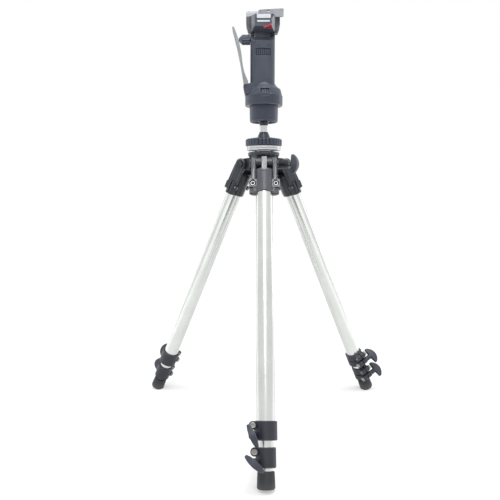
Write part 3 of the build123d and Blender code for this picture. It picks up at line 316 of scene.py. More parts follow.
# Hard-turned steel stem
STEM = Finish("turned steel stem", "stem_steel", "#cfd0d1", "#bfc0c1", 0.24, metallic=1.0, grain=Grain.TURNED,
              grain_mm=0.4, depth_mm=0.006)
# Black hard-anodised ball and neck
BALL = Finish("black hard anodise", "ball_black", "#303236", "#27292d", 0.3, metallic=0.4, grain_mm=1.2,
              depth_mm=0.003)
# Satin die-cast levers, lightly tumbled
LEVER = Finish("satin die-cast lever", "lever_metal", "#93969a", "#86898d", 0.44, metallic=0.7, worn="#b4b6b9",
               grain_mm=1.1, depth_mm=0.02)
# Grey moulded friction wheel
WHEEL = Finish("moulded grey wheel", "wheel_polymer", "#6d7380", "#626874", 0.5, worn="#888d97")
# Ribbed rubber pad
PAD = Finish("ribbed rubber pad", "pad_rubber", "#303133", "#262729", 0.78, grain_mm=0.6, depth_mm=0.04)
# Red moulded catch, glossy
CATCH = Finish("red moulded catch", "catch_red", "#a02c3a", "#8c2532", 0.32, grain_mm=1.5, depth_mm=0.005, coat=0.3,
               worn="#cf6870")
# Bare vinyl plates
VINYL = Finish("bare white label", "liner_acetal", "#e4e8f0", "#d9dde5", 0.45, grain_mm=2.0, depth_mm=0.004)
# Moulded rubber feet
FOOT = DustyRubber("moulded rubber foot", "foot_rubber", "#292b2e", "#212326", 0.58, grain_mm=0.9, depth_mm=0.05)
# Sockets and slots, painted dark and dull as the shade inside them
SHADED_RECESS = Finish("steel painted recess shade", "zinc_steel", "#222326", "#1a1b1d", 0.5, metallic=0.6, depth_mm=0.005)
# White acetal liner inside the socket
ACETAL = Finish("white acetal", "liner_acetal", "#e6e6e0", "#dcdcd5", 0.4, grain_mm=1.0, depth_mm=0.004)


def joint_place(name: str) -> tuple[Vector, Vector]:
    """Looks a hinge up.

    Args:
        name: the joint's name in the frame.

    Returns:
        Its centre in metres and its unit axis, in the row frame.
    """
    joint = JOINTS[name]
    return Vector(joint["pos_m"]), Vector(joint["axis"]).normalized()


def axes_matrix(origin: Vector, z_axis: Vector, x_hint: Vector) -> Matrix:
    """Builds a place matrix.

    Args:
        origin: where local zero goes.
        z_axis: where local Z points.
        x_hint: roughly where local X points.

    Returns:
        A rigid 4 by 4 matrix.
    """
    z = z_axis.normalized()
    y = z.cross(x_hint).normalized()
    x = y.cross(z)
    return Matrix.Translation(origin) @ Matrix((x, y, z)).transposed().to_4x4()


def finish_piece(name: str, mesh: bmesh.types.BMesh, finish: Finish, body: str, inner: tuple[Finish, ...] = (),
                 sharp_deg: float = 38.0) -> bpy.types.Object:
    """Turns a bmesh into a dressed piece that rides on a CAD body.

    Args:
        name: the piece's name.
        mesh: its shape in the row frame, which is freed here.
        finish: its surface finish.
        body: the CAD body that carries it.
        inner: finishes of the faces whose material number is 1 and up.
        sharp_deg: edges steeper than this stay sharp.

    Returns:
        The new object.
    """
    for face in mesh.faces:
        face.smooth = True
    for edge in mesh.edges:
        edge.smooth = edge.is_manifold and edge.calc_face_angle(0.0) < math.radians(sharp_deg)
    data = bpy.data.meshes.new(name)
    mesh.to_mesh(data)
    mesh.free()
    piece = bpy.data.objects.new(name, data)
    bpy.context.scene.collection.objects.link(piece)
    for one in (finish, *inner):
        data.materials.append(one.material())
    normals = piece.modifiers.new("even shading", "WEIGHTED_NORMAL")
    normals.keep_sharp = True
    normals.weight = 100
    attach(piece, body)
    LOG.info("%s: %d faces, rides on %s", name, len(data.polygons), body)
    return piece


@dataclass(frozen=True)
class Patch:
    """A block of space, in millimetres from the column's axis and the leg pivots, whose faces take another finish."""

    finish: Finish
    low: tuple[float, float, float]
    high: tuple[float, float, float]

    def holds(self, point: Vector) -> bool:
        """Says whether a point of the row frame lies in the block."""
        low, high = at(*self.low), at(*self.high)
        return all(low[i] <= point[i] <= high[i] for i in range(3))


def softened(node: str, finish: Finish, width_mm: float, body: str,
             patches: tuple[Patch, ...] = ()) -> bpy.types.Object:
    """Stands a copy of a CAD node, with its outer edges rounded, in the node's place.

    Args:
        node: the CAD node.
        finish: its surface finish.
        width_mm: the width of the rounded edges.
        body: the CAD body that carries it.
        patches: blocks of it with finishes of their own.

    Returns:
        The piece that replaces the node.
    """
    mesh = bmesh.new()
    mesh.from_mesh(frame["nodes"][node].data)
    bmesh.ops.remove_doubles(mesh, verts=mesh.verts, dist=MERGE_MM * MM)
    bmesh.ops.dissolve_limit(mesh, angle_limit=math.radians(FLAT_DEG), verts=mesh.verts, edges=mesh.edges)
    for face in mesh.faces:
        face.material_index = 0
    rubbed = mesh.faces.layers.float.new(RUBBED)
    steep = math.radians(ROUND_DEG)
    edges = [e for e in mesh.edges if e.is_manifold and e.is_convex and e.calc_face_angle(0.0) > steep]
    rounded = bmesh.ops.bevel(mesh, geom=edges, offset=width_mm * MM, affect="EDGES", segments=2, profile=0.5,
                              material=-1, clamp_overlap=False)
    for face in rounded["faces"]:
        face[rubbed] = 1.0
    for number, patch in enumerate(patches, 1):
        for face in mesh.faces:
            if patch.holds(face.calc_center_median()):
                face.material_index = number
    piece = finish_piece(f"{node}_body", mesh, finish, body, tuple(patch.finish for patch in patches))
    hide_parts(node)
    return piece


def dress(node: str, finish: Finish) -> None:
    """Gives a CAD node a finish.

    Args:
        node: the CAD node.
        finish: its surface finish.
    """
    data = frame["nodes"][node].data
    data.materials.clear()
    data.materials.append(finish.material())
    LOG.info("%s: dressed as %s", node, finish.name)


def turned(profile_mm: list[tuple[float, float]], steps: int = 48) -> bmesh.types.BMesh:
    """Spins a profile about Z into a closed turned shape.

    Args:
        profile_mm: (radius, height) points from one end of the axis to the other.
        steps: facets round the axis.

    Returns:
        The shape, in metres.
    """
    mesh = bmesh.new()
    points = [mesh.verts.new((r * MM, 0.0, h * MM)) for r, h in profile_mm]
    edges = [mesh.edges.new(pair) for pair in zip(points, points[1:])]
    bmesh.ops.spin(mesh, geom=points + edges, axis=(0, 0, 1), cent=(0, 0, 0), angle=math.tau, steps=steps,
                   use_merge=True)
    bmesh.ops.remove_doubles(mesh, verts=mesh.verts, dist=0.001 * MM)
    bmesh.ops.recalc_face_normals(mesh, faces=mesh.faces)
    return mesh


def socket_head(radius_mm: float, height_mm: float, key_mm: float, depth_mm: float) -> bmesh.types.BMesh:
    """Models a screw head with a chamfered rim and a hexagon socket, seated at zero along Z.

    The socket's faces take material number 1.

    Args:
        radius_mm: the head's radius.
        height_mm: the head's height.
        key_mm: the socket's width across corners.
        depth_mm: the socket's depth.

    Returns:
        The head, in metres.
    """
    edge, mouth, lead_in = 0.2 * radius_mm, 0.62 * key_mm, 0.12
    profile = [(radius_mm - 0.3 * edge, 0), (radius_mm, 0.3 * edge), (radius_mm, height_mm - edge),
               (radius_mm - 0.4 * edge, height_mm - 0.3 * edge), (radius_mm - edge, height_mm),
               (mouth, height_mm)]
    mesh = turned(profile)
    rim = [e for e in mesh.edges if e.is_boundary and all(v.co.z > (height_mm - NEAR_MM) * MM for v in e.verts)]
    foot = [e for e in mesh.edges if e.is_boundary and all(v.co.z < NEAR_MM * MM for v in e.verts)]
    bmesh.ops.contextual_create(mesh, geom=foot)
    key = bmesh.ops.create_circle(mesh, segments=6, radius=0.5 * key_mm * MM,
                                  matrix=Matrix.Translation((0, 0, (height_mm - lead_in) * MM)))
    hexagon = list({e for v in key["verts"] for e in v.link_edges})
    bmesh.ops.bridge_loops(mesh, edges=rim + hexagon)
    sunk = bmesh.ops.extrude_edge_only(mesh, edges=hexagon)["geom"]
    floor = [e for e in sunk if isinstance(e, bmesh.types.BMEdge) and e.is_boundary]
    bmesh.ops.translate(mesh, vec=(0, 0, -depth_mm * MM), verts=list({v for e in floor for v in e.verts}))
    bmesh.ops.contextual_create(mesh, geom=floor)
    bmesh.ops.recalc_face_normals(mesh, faces=mesh.faces)
    for face in mesh.faces:
        inside = all(v.co.to_2d().length < 0.51 * key_mm * MM for v in face.verts)
        face.material_index = int(inside and any(v.co.z > NEAR_MM * MM for v in face.verts))
    return mesh


def hexagon_nut(flats_mm: float, height_mm: float) -> bmesh.types.BMesh:
    """Models a hexagon nut with eased corners, seated at zero along Z.

    Args:
        flats_mm: the width across flats.
        height_mm: the nut's height.

    Returns:
        The nut, in metres.
    """
    mesh = bmesh.new()
    corner = flats_mm / math.sqrt(3) * MM
    bmesh.ops.create_cone(mesh, cap_ends=True, segments=6, radius1=corner, radius2=corner, depth=height_mm * MM,
                          matrix=Matrix.Translation((0, 0, 0.5 * height_mm * MM)))
    bmesh.ops.bevel(mesh, geom=list(mesh.edges), offset=0.09 * flats_mm * MM, affect="EDGES", segments=2,
                    profile=0.5, material=-1)
    return mesh


def set_place(mesh: bmesh.types.BMesh, place: Matrix) -> bmesh.types.BMesh:
    """Moves a shape from its own frame to its place; returns the same shape."""
    bmesh.ops.transform(mesh, matrix=place, verts=mesh.verts)
    return mesh


def joined(parts: list[bmesh.types.BMesh]) -> bmesh.types.BMesh:
    """Puts several shapes into one mesh.

    Args:
        parts: the shapes, which are freed here.

    Returns:
        One mesh with them all.
    """
    whole = bmesh.new()
    for part in parts:
        data = bpy.data.meshes.new("part")
        part.to_mesh(data)
        part.free()
        whole.from_mesh(data)
        bpy.data.meshes.remove(data)
    return whole


def islands(node: str, to_local: Matrix) -> list[tuple[Vector, Vector]]:
    """Finds the separate solids of a CAD node.

    Args:
        node: the CAD node.
        to_local: the frame to measure them in.

    Returns:
        Each solid's lowest and highest corners in that frame, in metres.
    """
    mesh = bmesh.new()
    mesh.from_mesh(frame["nodes"][node].data)
    bmesh.ops.remove_doubles(mesh, verts=mesh.verts, dist=MERGE_MM * MM)
    waiting, boxes = set(mesh.verts), []
    while waiting:
        reached = [waiting.pop()]
        for vert in reached:
            for edge in vert.link_edges:
                other = edge.other_vert(vert)
                if other in waiting:
                    waiting.remove(other)
                    reached.append(other)
        places = [to_local @ v.co for v in reached]
        boxes.append((Vector(min(p[i] for p in places) for i in range(3)),
                      Vector(max(p[i] for p in places) for i in range(3))))
    mesh.free()
    return boxes


@dataclass
class Leg:
    """One three-section leg with its casting, clamps, wing screws and foot."""

    side: str
    edge_mm: float = 0.45
    latch_edge_mm: float = 0.3
    wing_edge_mm: float = 0.9
    pad_face_mm: float = 9.7
    pad_depth_mm: float = 0.2
    pad_facing: float = 0.9
    rib_foot_mm: float = 9.9
    rib_low_mm: float = -34.5
    rib_side_mm: float = 14.5
    lower_bolt_rise_mm: float = 13.9
    shank_r_mm: float = 2.5
    shank_gap_mm: float = 0.02
    shank_tip_share: float = 0.12
    key_share: float = 1.15
    dark_socket_share: float = 0.62
    bright_socket_share: float = 0.36
    casting_reach_mm: float = 70.0
    casting_head_mm: float = 4.6
    clamp_head_mm: float = 4.0
    nut_flats_mm: float = 8.0
    nut_height_mm: float = 3.2
    nut_gap_mm: float = 0.06

    def __post_init__(self) -> None:
        """Finds the leg's frame: X across, Y outwards, Z up the leg, zero at its pivot."""
        pivot, _ = joint_place(f"{self.side}_leg_swing")
        down = Vector(JOINTS[f"{self.side}_middle_slide"]["axis"])
        _, outward = joint_place(f"{self.side}_upper_wing_turn")
        self.place = axes_matrix(pivot, -down, outward.cross(-down))
        self.down = down

    def build(self) -> None:
        """Builds and dresses every piece of the leg."""
        leg, middle = f"{self.side}_leg", f"{self.side}_middle"
        tube = replace(TUBE, name=f"{TUBE.name} {self.side}", along=tuple(self.down),
                       centre=tuple(self.place.translation))
        for part in ("upper_tube", "middle_tube", "lower_tube"):
            dress(f"{self.side}_{part}", tube)
        self.build_casting(leg)
        softened(f"{self.side}_upper_clamp", NYLON, self.edge_mm, leg)
        softened(f"{self.side}_lower_clamp", NYLON, self.edge_mm, middle)
        softened(f"{self.side}_foot", FOOT, self.edge_mm, f"{self.side}_lower")
        tab = replace(LATCH, name=f"{LATCH.name} {self.side}", along=tuple(self.down))
        softened(f"{self.side}_latch", tab, self.latch_edge_mm, f"{self.side}_latch")
        for wing in ("upper_wing", "lower_wing"):
            softened(f"{self.side}_{wing}", WING, self.wing_edge_mm, f"{self.side}_{wing}")
        self.build_bolts()
        self.build_nuts()

    def build_casting(self, body: str) -> None:
        """Rounds the casting and paints its bolt pads and ribs lighter, as highlights.

        Args:
            body: the CAD body that carries it.
        """
        # Both casting finishes are the hub's enamel painted lighter for light, the front one most
        finish = FRONT_LIT_CASTING if self.side == "front" else LIT_CASTING
        piece = softened(f"{self.side}_casting", finish, self.edge_mm, body)
        # The bolt pads are painted light as the highlight on their flat faces
        piece.data.materials.append(LIT_PAD.material())
        # The ribs are painted lighter as the highlight their edges catch
        piece.data.materials.append(LIT_RIB.material())
        inverse = self.place.inverted()
        for face in piece.data.polygons:
            centre = inverse @ face.center / MM
            turned_out = (inverse.to_3x3() @ face.normal).y > self.pad_facing
            on_pad = turned_out and abs(centre.y - self.pad_face_mm) < self.pad_depth_mm
            outside = abs(centre.x) > self.rib_side_mm
            on_rib = outside and centre.y > self.rib_foot_mm and centre.z > self.rib_low_mm
            if on_pad or on_rib:
                face.material_index = 1 if on_pad else 2

    def build_bolts(self) -> None:
        """Models the casting and clamp bolts as socket-head screws, the casting's with nuts at the back."""
        node = f"{self.side}_bolts"
        inverse = self.place.inverted()
        heads, nuts, lower = [], [], []
        for low, high in islands(node, inverse):
            middle = (low + high) / 2
            radius = (high.x - low.x) / 2 / MM
            if middle.z > -self.casting_reach_mm * MM:
                heads.append(self.bolt(middle.x, middle.z, low.y, high.y, radius, self.casting_head_mm, dark=True))
                back = Vector((middle.x, low.y + self.nut_height_mm * MM, middle.z))
                nut = hexagon_nut(NUT_SHARE * radius, self.nut_height_mm)
                nuts.append(set_place(nut, self.place @ axes_matrix(back, Vector((0, -1, 0)), Vector((1, 0, 0)))))
            else:
                heads.append(self.bolt(middle.x, middle.z, low.y, high.y, radius, self.clamp_head_mm, dark=False))
                wing = inverse @ joint_place(f"{self.side}_lower_wing_turn")[0]
                lower.append(self.bolt(wing.x, wing.z + self.lower_bolt_rise_mm * MM, low.y, high.y, radius,
                                       self.clamp_head_mm, dark=False))
        # The deep sockets are painted dark as the shade inside them
        piece = finish_piece(f"{self.side}_bolt_heads", joined(heads), ZINC, f"{self.side}_leg", (SHADED_RECESS,))
        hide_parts(node)
        finish_piece(f"{self.side}_bolt_nuts", joined(nuts), BLACKENED, f"{self.side}_leg")
        finish_piece(f"{self.side}_lower_clamp_bolt", joined(lower), ZINC, f"{self.side}_middle")

    def bolt(self, x: float, z: float, back: float, front: float, radius_mm: float, head_mm: float,
             dark: bool) -> bmesh.types.BMesh:
        """Models one bolt through the leg, head outwards.

        Args:
            x: its place across the leg, in metres.
            z: its place along the leg.
            back: where its shank ends.
            front: where its head ends.
            radius_mm: the head's radius.
            head_mm: the head's height.
            dark: whether its socket is deep and painted dark as shade, not shallow and bright.

        Returns:
            The bolt, in the row frame.
        """
        reach = (front - back) / MM - head_mm
        end = self.shank_tip_share * radius_mm
        shank = turned([(0, -reach), (self.shank_r_mm - end, -reach), (self.shank_r_mm, end - reach),
                        (self.shank_r_mm, -self.shank_gap_mm), (0, -self.shank_gap_mm)], 32)
        share = self.dark_socket_share if dark else self.bright_socket_share
        head = socket_head(radius_mm, head_mm, self.key_share * radius_mm, share * head_mm)
        for face in head.faces:
            face.material_index *= int(dark)
        shape = joined([head, shank])
        seat = Vector((x, front - head_mm * MM, z))
        return set_place(shape, self.place @ axes_matrix(seat, Vector((0, 1, 0)), Vector((1, 0, 0))))

    def build_nuts(self) -> None:
        """Models the nuts that the wing screws draw on, behind each lug."""
        for wing, body in (("upper_wing", "leg"), ("lower_wing", "middle")):
            seat, outward = joint_place(f"{self.side}_{wing}_turn")
            inverse = self.place.inverted()
            reach = min((inverse @ v.co).y for v in frame["nodes"][f"{self.side}_{wing}"].data.vertices)
            local = inverse @ seat
            back = self.place @ Vector((local.x, reach - self.nut_gap_mm * MM, local.z))
            nut = hexagon_nut(self.nut_flats_mm, self.nut_height_mm)
            set_place(nut, axes_matrix(back, -outward, self.down))
            finish_piece(f"{self.side}_{wing}_nut", nut, ZINC, f"{self.side}_{body}")


@dataclass
class Shoulder:
    """The hub that the legs fold on, with the column that slides in it."""

    edge_mm: float = 0.5
    wing_edge_mm: float = 0.9
    boss_reach_mm: float = 46.6
    thread_r_mm: float = 4.0
    thread_depth_mm: float = 0.6
    thread_pitch_mm: float = 1.0
    thread_turns: int = 4
    pivot_head_mm: float = 2.8
    pivot_near_mm: float = 8.0
    pivot_socket_share: float = 0.6

    def build(self) -> None:
        """Builds and dresses the hub, the column and the column lock."""
        axis = Vector((AXIS.x, AXIS.y, 0))
        softened("hub_casting", ENAMEL, self.edge_mm, "hub")
        dress("column_bushing", NYLON)
        dress("column_tube", replace(TUBE, name=f"{TUBE.name} column", centre=tuple(axis)))
        softened("column_end_cap", NYLON, self.edge_mm, "column")
        dress("column_top_plate", replace(TURNED, name=f"{TURNED.name} plate", centre=tuple(axis)))
        softened("column_lock_screw", LOCK_NYLON, self.wing_edge_mm, "column_lock")
        self.build_pivot_bolts()
        self.build_lock_thread()

    def build_lock_thread(self) -> None:
        """Cuts the bare thread of the column lock, between the hub's boss and the wing."""
        seat, _ = joint_place("column_lock_turn")
        outward = Vector((seat.x - AXIS.x, seat.y - AXIS.y, 0)).normalized()
        start = Vector((AXIS.x, AXIS.y, seat.z)) + outward * self.boss_reach_mm * MM
        root = self.thread_r_mm - self.thread_depth_mm
        length = self.thread_turns * self.thread_pitch_mm
        profile = [(0.0, 0.0)]
        for turn in range(self.thread_turns):
            low = turn * self.thread_pitch_mm
            profile += [(root, low), (self.thread_r_mm, low + 0.5 * self.thread_pitch_mm)]
        profile += [(root, length), (0.0, length)]
        mesh = set_place(turned(profile, 40), axes_matrix(start, outward, Vector((0, 0, 1))))
        finish_piece("column_lock_thread", mesh, ZINC, "column_lock")

    def build_pivot_bolts(self) -> None:
        """Models the leg pivot bolts with a socket head at one end and a nut at the other."""
        shapes = []
        for side in SIDES:
            centre, axis = joint_place(f"{side}_leg_swing")
            place = axes_matrix(centre, axis, Vector((0, 0, 1)))
            inverse = place.inverted()
            ends = [inverse @ v.co for v in frame["nodes"]["leg_pivot_bolts"].data.vertices]
            near = [p for p in ends if p.to_2d().length < self.pivot_near_mm * MM]
            reach = max(p.z for p in near)
            radius = max(p.to_2d().length for p in near) / MM
            height = self.pivot_head_mm
            head = socket_head(radius, height, radius, self.pivot_socket_share * height)
            nut = hexagon_nut(NUT_SHARE * radius, height)
            shapes.append(set_place(head, place @ Matrix.Translation((0, 0, reach - height * MM))))
            flip = Matrix.Rotation(math.pi, 4, "X")
            shapes.append(set_place(nut, place @ Matrix.Translation((0, 0, height * MM - reach)) @ flip))
        # The sockets are painted dark as the shade inside them
        piece = finish_piece("leg_pivot_bolt_ends", joined(shapes), BLACKENED, "hub", (SHADED_RECESS,))
        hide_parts("leg_pivot_bolts")


@dataclass
class Head:
    """The grip-action ball head from its base disc to the tilt joint."""

    edge_mm: float = 0.5
    disc_edge_mm: float = 0.3
    ring_edge_mm: float = 0.25
    lever_edge_mm: float = 0.7
    knob_edge_mm: float = 0.35
    window_centre_mm: tuple[float, float, float] = (-1.4, -18.0, 176.0)
    window_size_mm: tuple[float, float] = (24.0, 10.7)
    insert_sink_mm: float = 0.6
    window_depth_mm: float = 2.0
    window_margin_mm: float = 0.2
    insert_half_mm: float = 0.15
    screw_r_mm: float = 1.7
    screw_height_mm: float = 1.2
    screw_rise_mm: float = 0.35
    screw_key_mm: float = 2.04
    screw_socket_mm: float = 0.7
    screw_places_mm: tuple[tuple[float, float], ...] = ((-9.9, 186.0), (7.1, 186.0))

    def build(self) -> None:
        """Builds and dresses the head's pieces."""
        softened("head_base", HOUSING, self.disc_edge_mm, "column")
        centre = tuple(joint_place("ball_pan")[0])
        dress("ball_stem", replace(STEM, name=f"{STEM.name} neck", centre=centre))
        dress("ball", BALL)
        dress("brake_shoe", TURNED)
        dress("brake_plunger", TURNED)
        dress("socket_liner", ACETAL)
        softened("ball_housing", HOUSING, self.edge_mm, "grip")
        x, front, rise = self.window_centre_mm
        wide, tall = (size / 2 + self.window_margin_mm for size in self.window_size_mm)
        rib = front + self.insert_sink_mm
        near, far = rib - self.insert_half_mm, rib + self.insert_half_mm
        lip, floor = front + 0.5 * self.window_margin_mm, front + self.window_depth_mm
        softened("grip_housing", GRIP, self.edge_mm, "grip", (
            Patch(WINDOW, (x - wide, lip, rise - tall), (x + wide, floor, rise + tall)),
            Patch(INSERT, (x - wide, near, rise - tall), (x + wide, far, rise + tall))))
        self.build_screws()
        softened("friction_ring", WHEEL, self.ring_edge_mm, "friction_wheel")
        softened("grip_lever", LEVER, self.lever_edge_mm, "lever")
        dress("lever_pin", BLACKENED)
        dress("tilt_bolt", BLACKENED)
        softened("tilt_knob", KNOB, self.knob_edge_mm, "tilt_lock")

    def build_screws(self) -> None:
        """Sets the two small housing screws above the grip's window."""
        shapes = []
        for x, rise in self.screw_places_mm:
            seat = at(x, self.window_centre_mm[1] + self.screw_height_mm - self.screw_rise_mm, rise)
            head = socket_head(self.screw_r_mm, self.screw_height_mm, self.screw_key_mm, self.screw_socket_mm)
            shapes.append(set_place(head, axes_matrix(seat, Vector((0, -1, 0)), Vector((1, 0, 0)))))
        # The sockets are painted dark as the shade inside them
        finish_piece("grip_screws", joined(shapes), BLACKENED, "grip", (SHADED_RECESS,))


@dataclass
class Platform:
    """The hexagonal platform with its quick-release plate, lever and catch."""

    edge_mm: float = 0.6
    plate_edge_mm: float = 0.4
    small_edge_mm: float = 0.5
    lever_slot_mm: tuple[tuple[float, float, float], ...] = ((7.6, -26.0, 235.7), (15.2, -10.0, 237.5))
    tongue_mm: tuple[tuple[float, float, float], ...] = ((-20.0, -22.0, 180.0), (20.0, 22.0, 211.0))
    face_y_mm: float = -23.56
    label_thick_mm: float = 0.5
    label_corner_mm: float = 0.6
    label_ease_mm: float = 0.15
    labels_mm: tuple[tuple[float, float, float, float], ...] = (
        (-11.7, 9.8, 225.3, 231.1), (-11.0, 8.8, 219.6, 222.2))
    rib_pitch_mm: float = 3.2
    rib_depth_mm: float = 0.5
    rib_span: tuple[float, float] = (0.2, 0.8)

    def build(self) -> None:
        """Builds and dresses the platform's pieces."""
        # The tongue under the platform is painted darker as the shade that falls there
        softened("platform", DECK, self.edge_mm, "platform", (Patch(SHADED_TONGUE, *self.tongue_mm),))
        dress("platform_pins", ZINC)
        softened("camera_plate", PLATE, self.plate_edge_mm, "plate")
        self.build_pad()
        dress("camera_screw", ZINC)
        # The lever's slot is painted dark as the shade under the lever
        softened("qr_lever", LEVER, self.small_edge_mm, "release_lever", (Patch(SHADED_RECESS, *self.lever_slot_mm),))
        self.build_labels()
        softened("safety_catch", CATCH, self.small_edge_mm, "catch")

    def build_labels(self) -> None:
        """Lays the two bare label plates on the platform's front face."""
        for name, (left, right, low, high) in zip(("upper_label", "lower_label"), self.labels_mm):
            mesh = bmesh.new()
            size = Matrix.Diagonal(((right - left) * MM, self.label_thick_mm * MM, (high - low) * MM, 1.0))
            bmesh.ops.create_cube(mesh, size=1.0, matrix=size)
            through = 0.5 * self.label_thick_mm * MM
            corners = [e for e in mesh.edges if abs(e.verts[0].co.y - e.verts[1].co.y) > through]
            bmesh.ops.bevel(mesh, geom=corners, offset=self.label_corner_mm * MM, affect="EDGES", segments=4,
                            profile=0.5, material=-1)
            rim = [e for e in mesh.edges if all(v.co.y < 0 for v in e.verts)]
            bmesh.ops.bevel(mesh, geom=rim, offset=self.label_ease_mm * MM, affect="EDGES", segments=2, profile=0.5,
                            material=-1)
            middle = at((left + right) / 2, self.face_y_mm - self.label_ease_mm, (low + high) / 2)
            finish_piece(name, set_place(mesh, Matrix.Translation(middle)), VINYL, "platform")

    def build_pad(self) -> None:
        """Stands ribs on the plate's rubber pad, their tops at the CAD pad's top."""
        low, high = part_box("plate_pad")
        parts = [self.pad_blank()]
        bmesh.ops.translate(parts[0], vec=(0, 0, -self.rib_depth_mm * MM),
                            verts=[v for v in parts[0].verts if v.co.z > high[2] - 0.1 * MM])
        pitch = self.rib_pitch_mm * MM
        rows = int((high[1] - low[1]) / pitch)
        start = (low[1] + high[1] - rows * pitch) / 2
        for row in range(rows):
            rib = self.pad_blank()
            for side, way in ((row + self.rib_span[0], -1), (row + self.rib_span[1], 1)):
                cut = bmesh.ops.bisect_plane(rib, geom=list(rib.verts) + list(rib.edges) + list(rib.faces),
                                             plane_co=(0, start + side * pitch, 0), plane_no=(0, way, 0),
                                             clear_outer=True)["geom_cut"]
                bmesh.ops.edgeloop_fill(rib, edges=[e for e in cut if isinstance(e, bmesh.types.BMEdge)])
            parts.append(rib)
        piece = finish_piece("plate_pad_ribbed", joined(parts), PAD, "plate")
        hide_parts("plate_pad")

    def pad_blank(self) -> bmesh.types.BMesh:
        """Copies the CAD pad.

        Returns:
            The pad as one closed shape, in the row frame.
        """
        mesh = bmesh.new()
        mesh.from_mesh(frame["nodes"]["plate_pad"].data)
        bmesh.ops.remove_doubles(mesh, verts=mesh.verts, dist=MERGE_MM * MM)
        for face in mesh.faces:
            face.material_index = 0
        return mesh


@dataclass(frozen=True)
class Lamp:
    """One soft box: its place and aim in metres from the column's foot, its width and height, and its power."""

    name: str
    place: tuple[float, float, float]
    aim: tuple[float, float, float]
    size: tuple[float, float]
    watts: float
    mirrored: bool = True


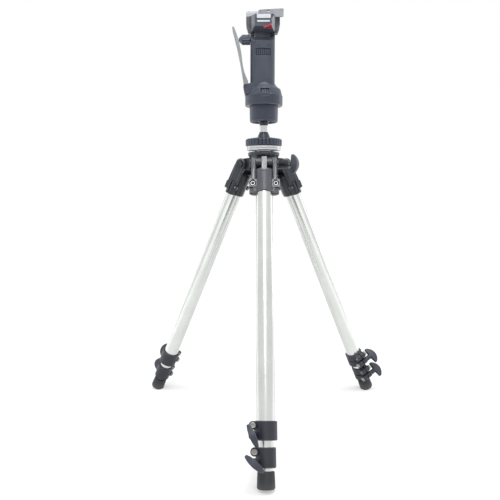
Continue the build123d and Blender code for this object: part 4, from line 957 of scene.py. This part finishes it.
@dataclass
class Studio:
    """White floor, soft lights and the camera at the photograph's place."""

    floor_m: float = 14.0
    floor_colour: str = "#d4d4d4"
    floor_lift: tuple[float, float] = (0.38, 0.95)
    floor_reach_m: tuple[float, float] = (0.4, 1.5)
    camera_from_axis_mm: tuple[float, float, float] = (-16.7, -885.2, 395.4)
    lens_mm: float = 37.83
    sensor_mm: float = 36.0
    pitch_deg: float = 6.783
    turn_deg: float = 0.389
    ambient: float = 0.4
    lamps: tuple[Lamp, ...] = (
        Lamp("overhead box", (0.1, -0.4, 2.0), (0.0, 0.0, 0.4), (1.2, 1.2), 17.0),
        Lamp("front lamp", (-0.05, -2.05, 2.5), (0.0, 0.0, 0.3), (0.5, 1.5), 25.0),
        Lamp("left box", (-1.4, 0.0, 0.8), (0.0, 0.0, 0.4), (0.9, 1.2), 11.0, mirrored=False),
        Lamp("right box", (1.4, 0.0, 0.8), (0.0, 0.0, 0.4), (0.9, 1.2), 11.0, mirrored=False),
        Lamp("left rim light", (-1.5, 0.8, 0.7), (0.0, 0.0, 0.5), (0.5, 1.0), 1.2),
        Lamp("right rim light", (1.5, 0.8, 0.7), (0.0, 0.0, 0.5), (0.5, 1.0), 2.2))
    flag_edges_m: tuple[tuple[float, float], ...] = ((-0.55, 0.001), (-1.2, 0.001))
    flag_half_m: float = 0.3
    flag_colour: str = "#101011"

    def build(self) -> None:
        """Sets the floor, world, lights and camera up."""
        self.build_floor()
        self.build_flag()
        self.build_world()
        self.build_lights()
        self.build_camera()

    def seen_rays(self, tree: bpy.types.NodeTree) -> bpy.types.NodeSocket:
        """Adds a switch that is on for what the camera sees, straight, mirrored or through glass.

        Args:
            tree: the node tree that takes it.

        Returns:
            The switch, 0 or 1.
        """
        rays = add_node(tree, "ShaderNodeLightPath").outputs
        seen = add_node(tree, "ShaderNodeMath", {"operation": "MAXIMUM"},
                        {0: rays["Is Camera Ray"], 1: rays["Is Glossy Ray"]}).outputs[0]
        return add_node(tree, "ShaderNodeMath", {"operation": "MAXIMUM"},
                        {0: seen, 1: rays["Is Transmission Ray"]}).outputs[0]

    def build_floor(self) -> None:
        """Lays the white floor, lifted to white for the camera, which keeps the object's soft shadow."""
        mesh = bmesh.new()
        bmesh.ops.create_grid(mesh, x_segments=1, y_segments=1, size=self.floor_m / 2)
        data = bpy.data.meshes.new("floor")
        mesh.to_mesh(data)
        mesh.free()
        floor = bpy.data.objects.new("floor", data)
        bpy.context.scene.collection.objects.link(floor)
        paper = bpy.data.materials.new("white paper sweep")
        paper.use_nodes = True
        tree = paper.node_tree
        tree.nodes.clear()
        sheet = add_node(tree, "ShaderNodeBsdfDiffuse", {"Color": linear(self.floor_colour)})
        place = add_node(tree, "ShaderNodeTexCoord").outputs["Object"]
        far = add_node(tree, "ShaderNodeVectorMath", {"operation": "LENGTH"}, {0: place}).outputs["Value"]
        rise = add_node(tree, "ShaderNodeMapRange", {1: self.floor_reach_m[0], 2: self.floor_reach_m[1],
                                                     3: self.floor_lift[0], 4: self.floor_lift[1]}, {0: far})
        lift = add_node(tree, "ShaderNodeMath", {"operation": "MULTIPLY"},
                        {0: self.seen_rays(tree), 1: rise.outputs[0]})
        glow = add_node(tree, "ShaderNodeEmission", links={"Strength": lift.outputs[0]})
        both = add_node(tree, "ShaderNodeAddShader", links={0: sheet.outputs[0], 1: glow.outputs[0]})
        add_node(tree, "ShaderNodeOutputMaterial", links={"Surface": both.outputs[0]})
        data.materials.append(paper)

    def build_flag(self) -> None:
        """Lays a black cloth on the floor in front, seen only in reflections, as the dark line down the tubes."""
        foot = Vector((AXIS.x, AXIS.y, 0))
        mesh = bmesh.new()
        points = [mesh.verts.new(foot + Vector((-self.flag_half_m, y, z))) for y, z in self.flag_edges_m]
        edges = [mesh.edges.new(pair) for pair in zip(points, points[1:])]
        swept = bmesh.ops.extrude_edge_only(mesh, edges=edges)["geom"]
        bmesh.ops.translate(mesh, vec=(2 * self.flag_half_m, 0, 0),
                            verts=[v for v in swept if isinstance(v, bmesh.types.BMVert)])
        data = bpy.data.meshes.new("black_flag")
        mesh.to_mesh(data)
        mesh.free()
        flag = bpy.data.objects.new("black_flag", data)
        bpy.context.scene.collection.objects.link(flag)
        cloth = bpy.data.materials.new("black flag cloth")
        cloth.use_nodes = True
        cloth.node_tree.nodes["Principled BSDF"].inputs["Base Color"].default_value = linear(self.flag_colour)
        data.materials.append(cloth)
        flag.visible_camera = False
        flag.visible_diffuse = False
        flag.visible_shadow = False

    def build_world(self) -> None:
        """Makes the world white to the camera and to reflections, and a soft fill to everything else."""
        world = bpy.data.worlds.new("white studio")
        bpy.context.scene.world = world
        world.use_nodes = True
        tree = world.node_tree
        tree.nodes.clear()
        strength = add_node(tree, "ShaderNodeMapRange", {3: self.ambient, 4: 1.0},
                            {0: self.seen_rays(tree)}).outputs[0]
        back = add_node(tree, "ShaderNodeBackground", {"Color": (1, 1, 1, 1)}, {"Strength": strength})
        add_node(tree, "ShaderNodeOutputWorld", links={"Surface": back.outputs[0]})

    def build_lights(self) -> None:
        """Hangs the soft boxes, the front lamp and the two rim lights."""
        foot = Vector((AXIS.x, AXIS.y, 0))
        for lamp in self.lamps:
            data = bpy.data.lights.new(lamp.name, "AREA")
            data.shape = "RECTANGLE"
            data.size, data.size_y = lamp.size
            data.energy = lamp.watts
            box = bpy.data.objects.new(lamp.name, data)
            box.location = foot + Vector(lamp.place)
            box.visible_glossy = lamp.mirrored
            box.rotation_euler = (foot + Vector(lamp.aim) - box.location).to_track_quat("-Z", "Y").to_euler()
            bpy.context.scene.collection.objects.link(box)

    def build_camera(self) -> None:
        """Places the camera where the photograph was taken."""
        axis = Vector((AXIS.x, AXIS.y, 0))
        data = bpy.data.cameras.new("camera")
        data.lens = self.lens_mm
        data.sensor_width = self.sensor_mm
        camera = bpy.data.objects.new("camera", data)
        camera.location = axis + Vector(self.camera_from_axis_mm) * MM
        camera.rotation_euler = (math.radians(90 - self.pitch_deg), 0, math.radians(self.turn_deg))
        bpy.context.scene.collection.objects.link(camera)
        bpy.context.scene.camera = camera


def main() -> None:
    """Builds the tripod's looks and the studio round it."""
    logging.basicConfig(level=logging.INFO, format="%(name)s: %(message)s")
    bpy.context.scene.view_settings.view_transform = "Standard"
    for side in SIDES:
        Leg(side).build()
    Shoulder().build()
    Head().build()
    Platform().build()
    Studio().build()


if __name__ == "__main__":
    main()
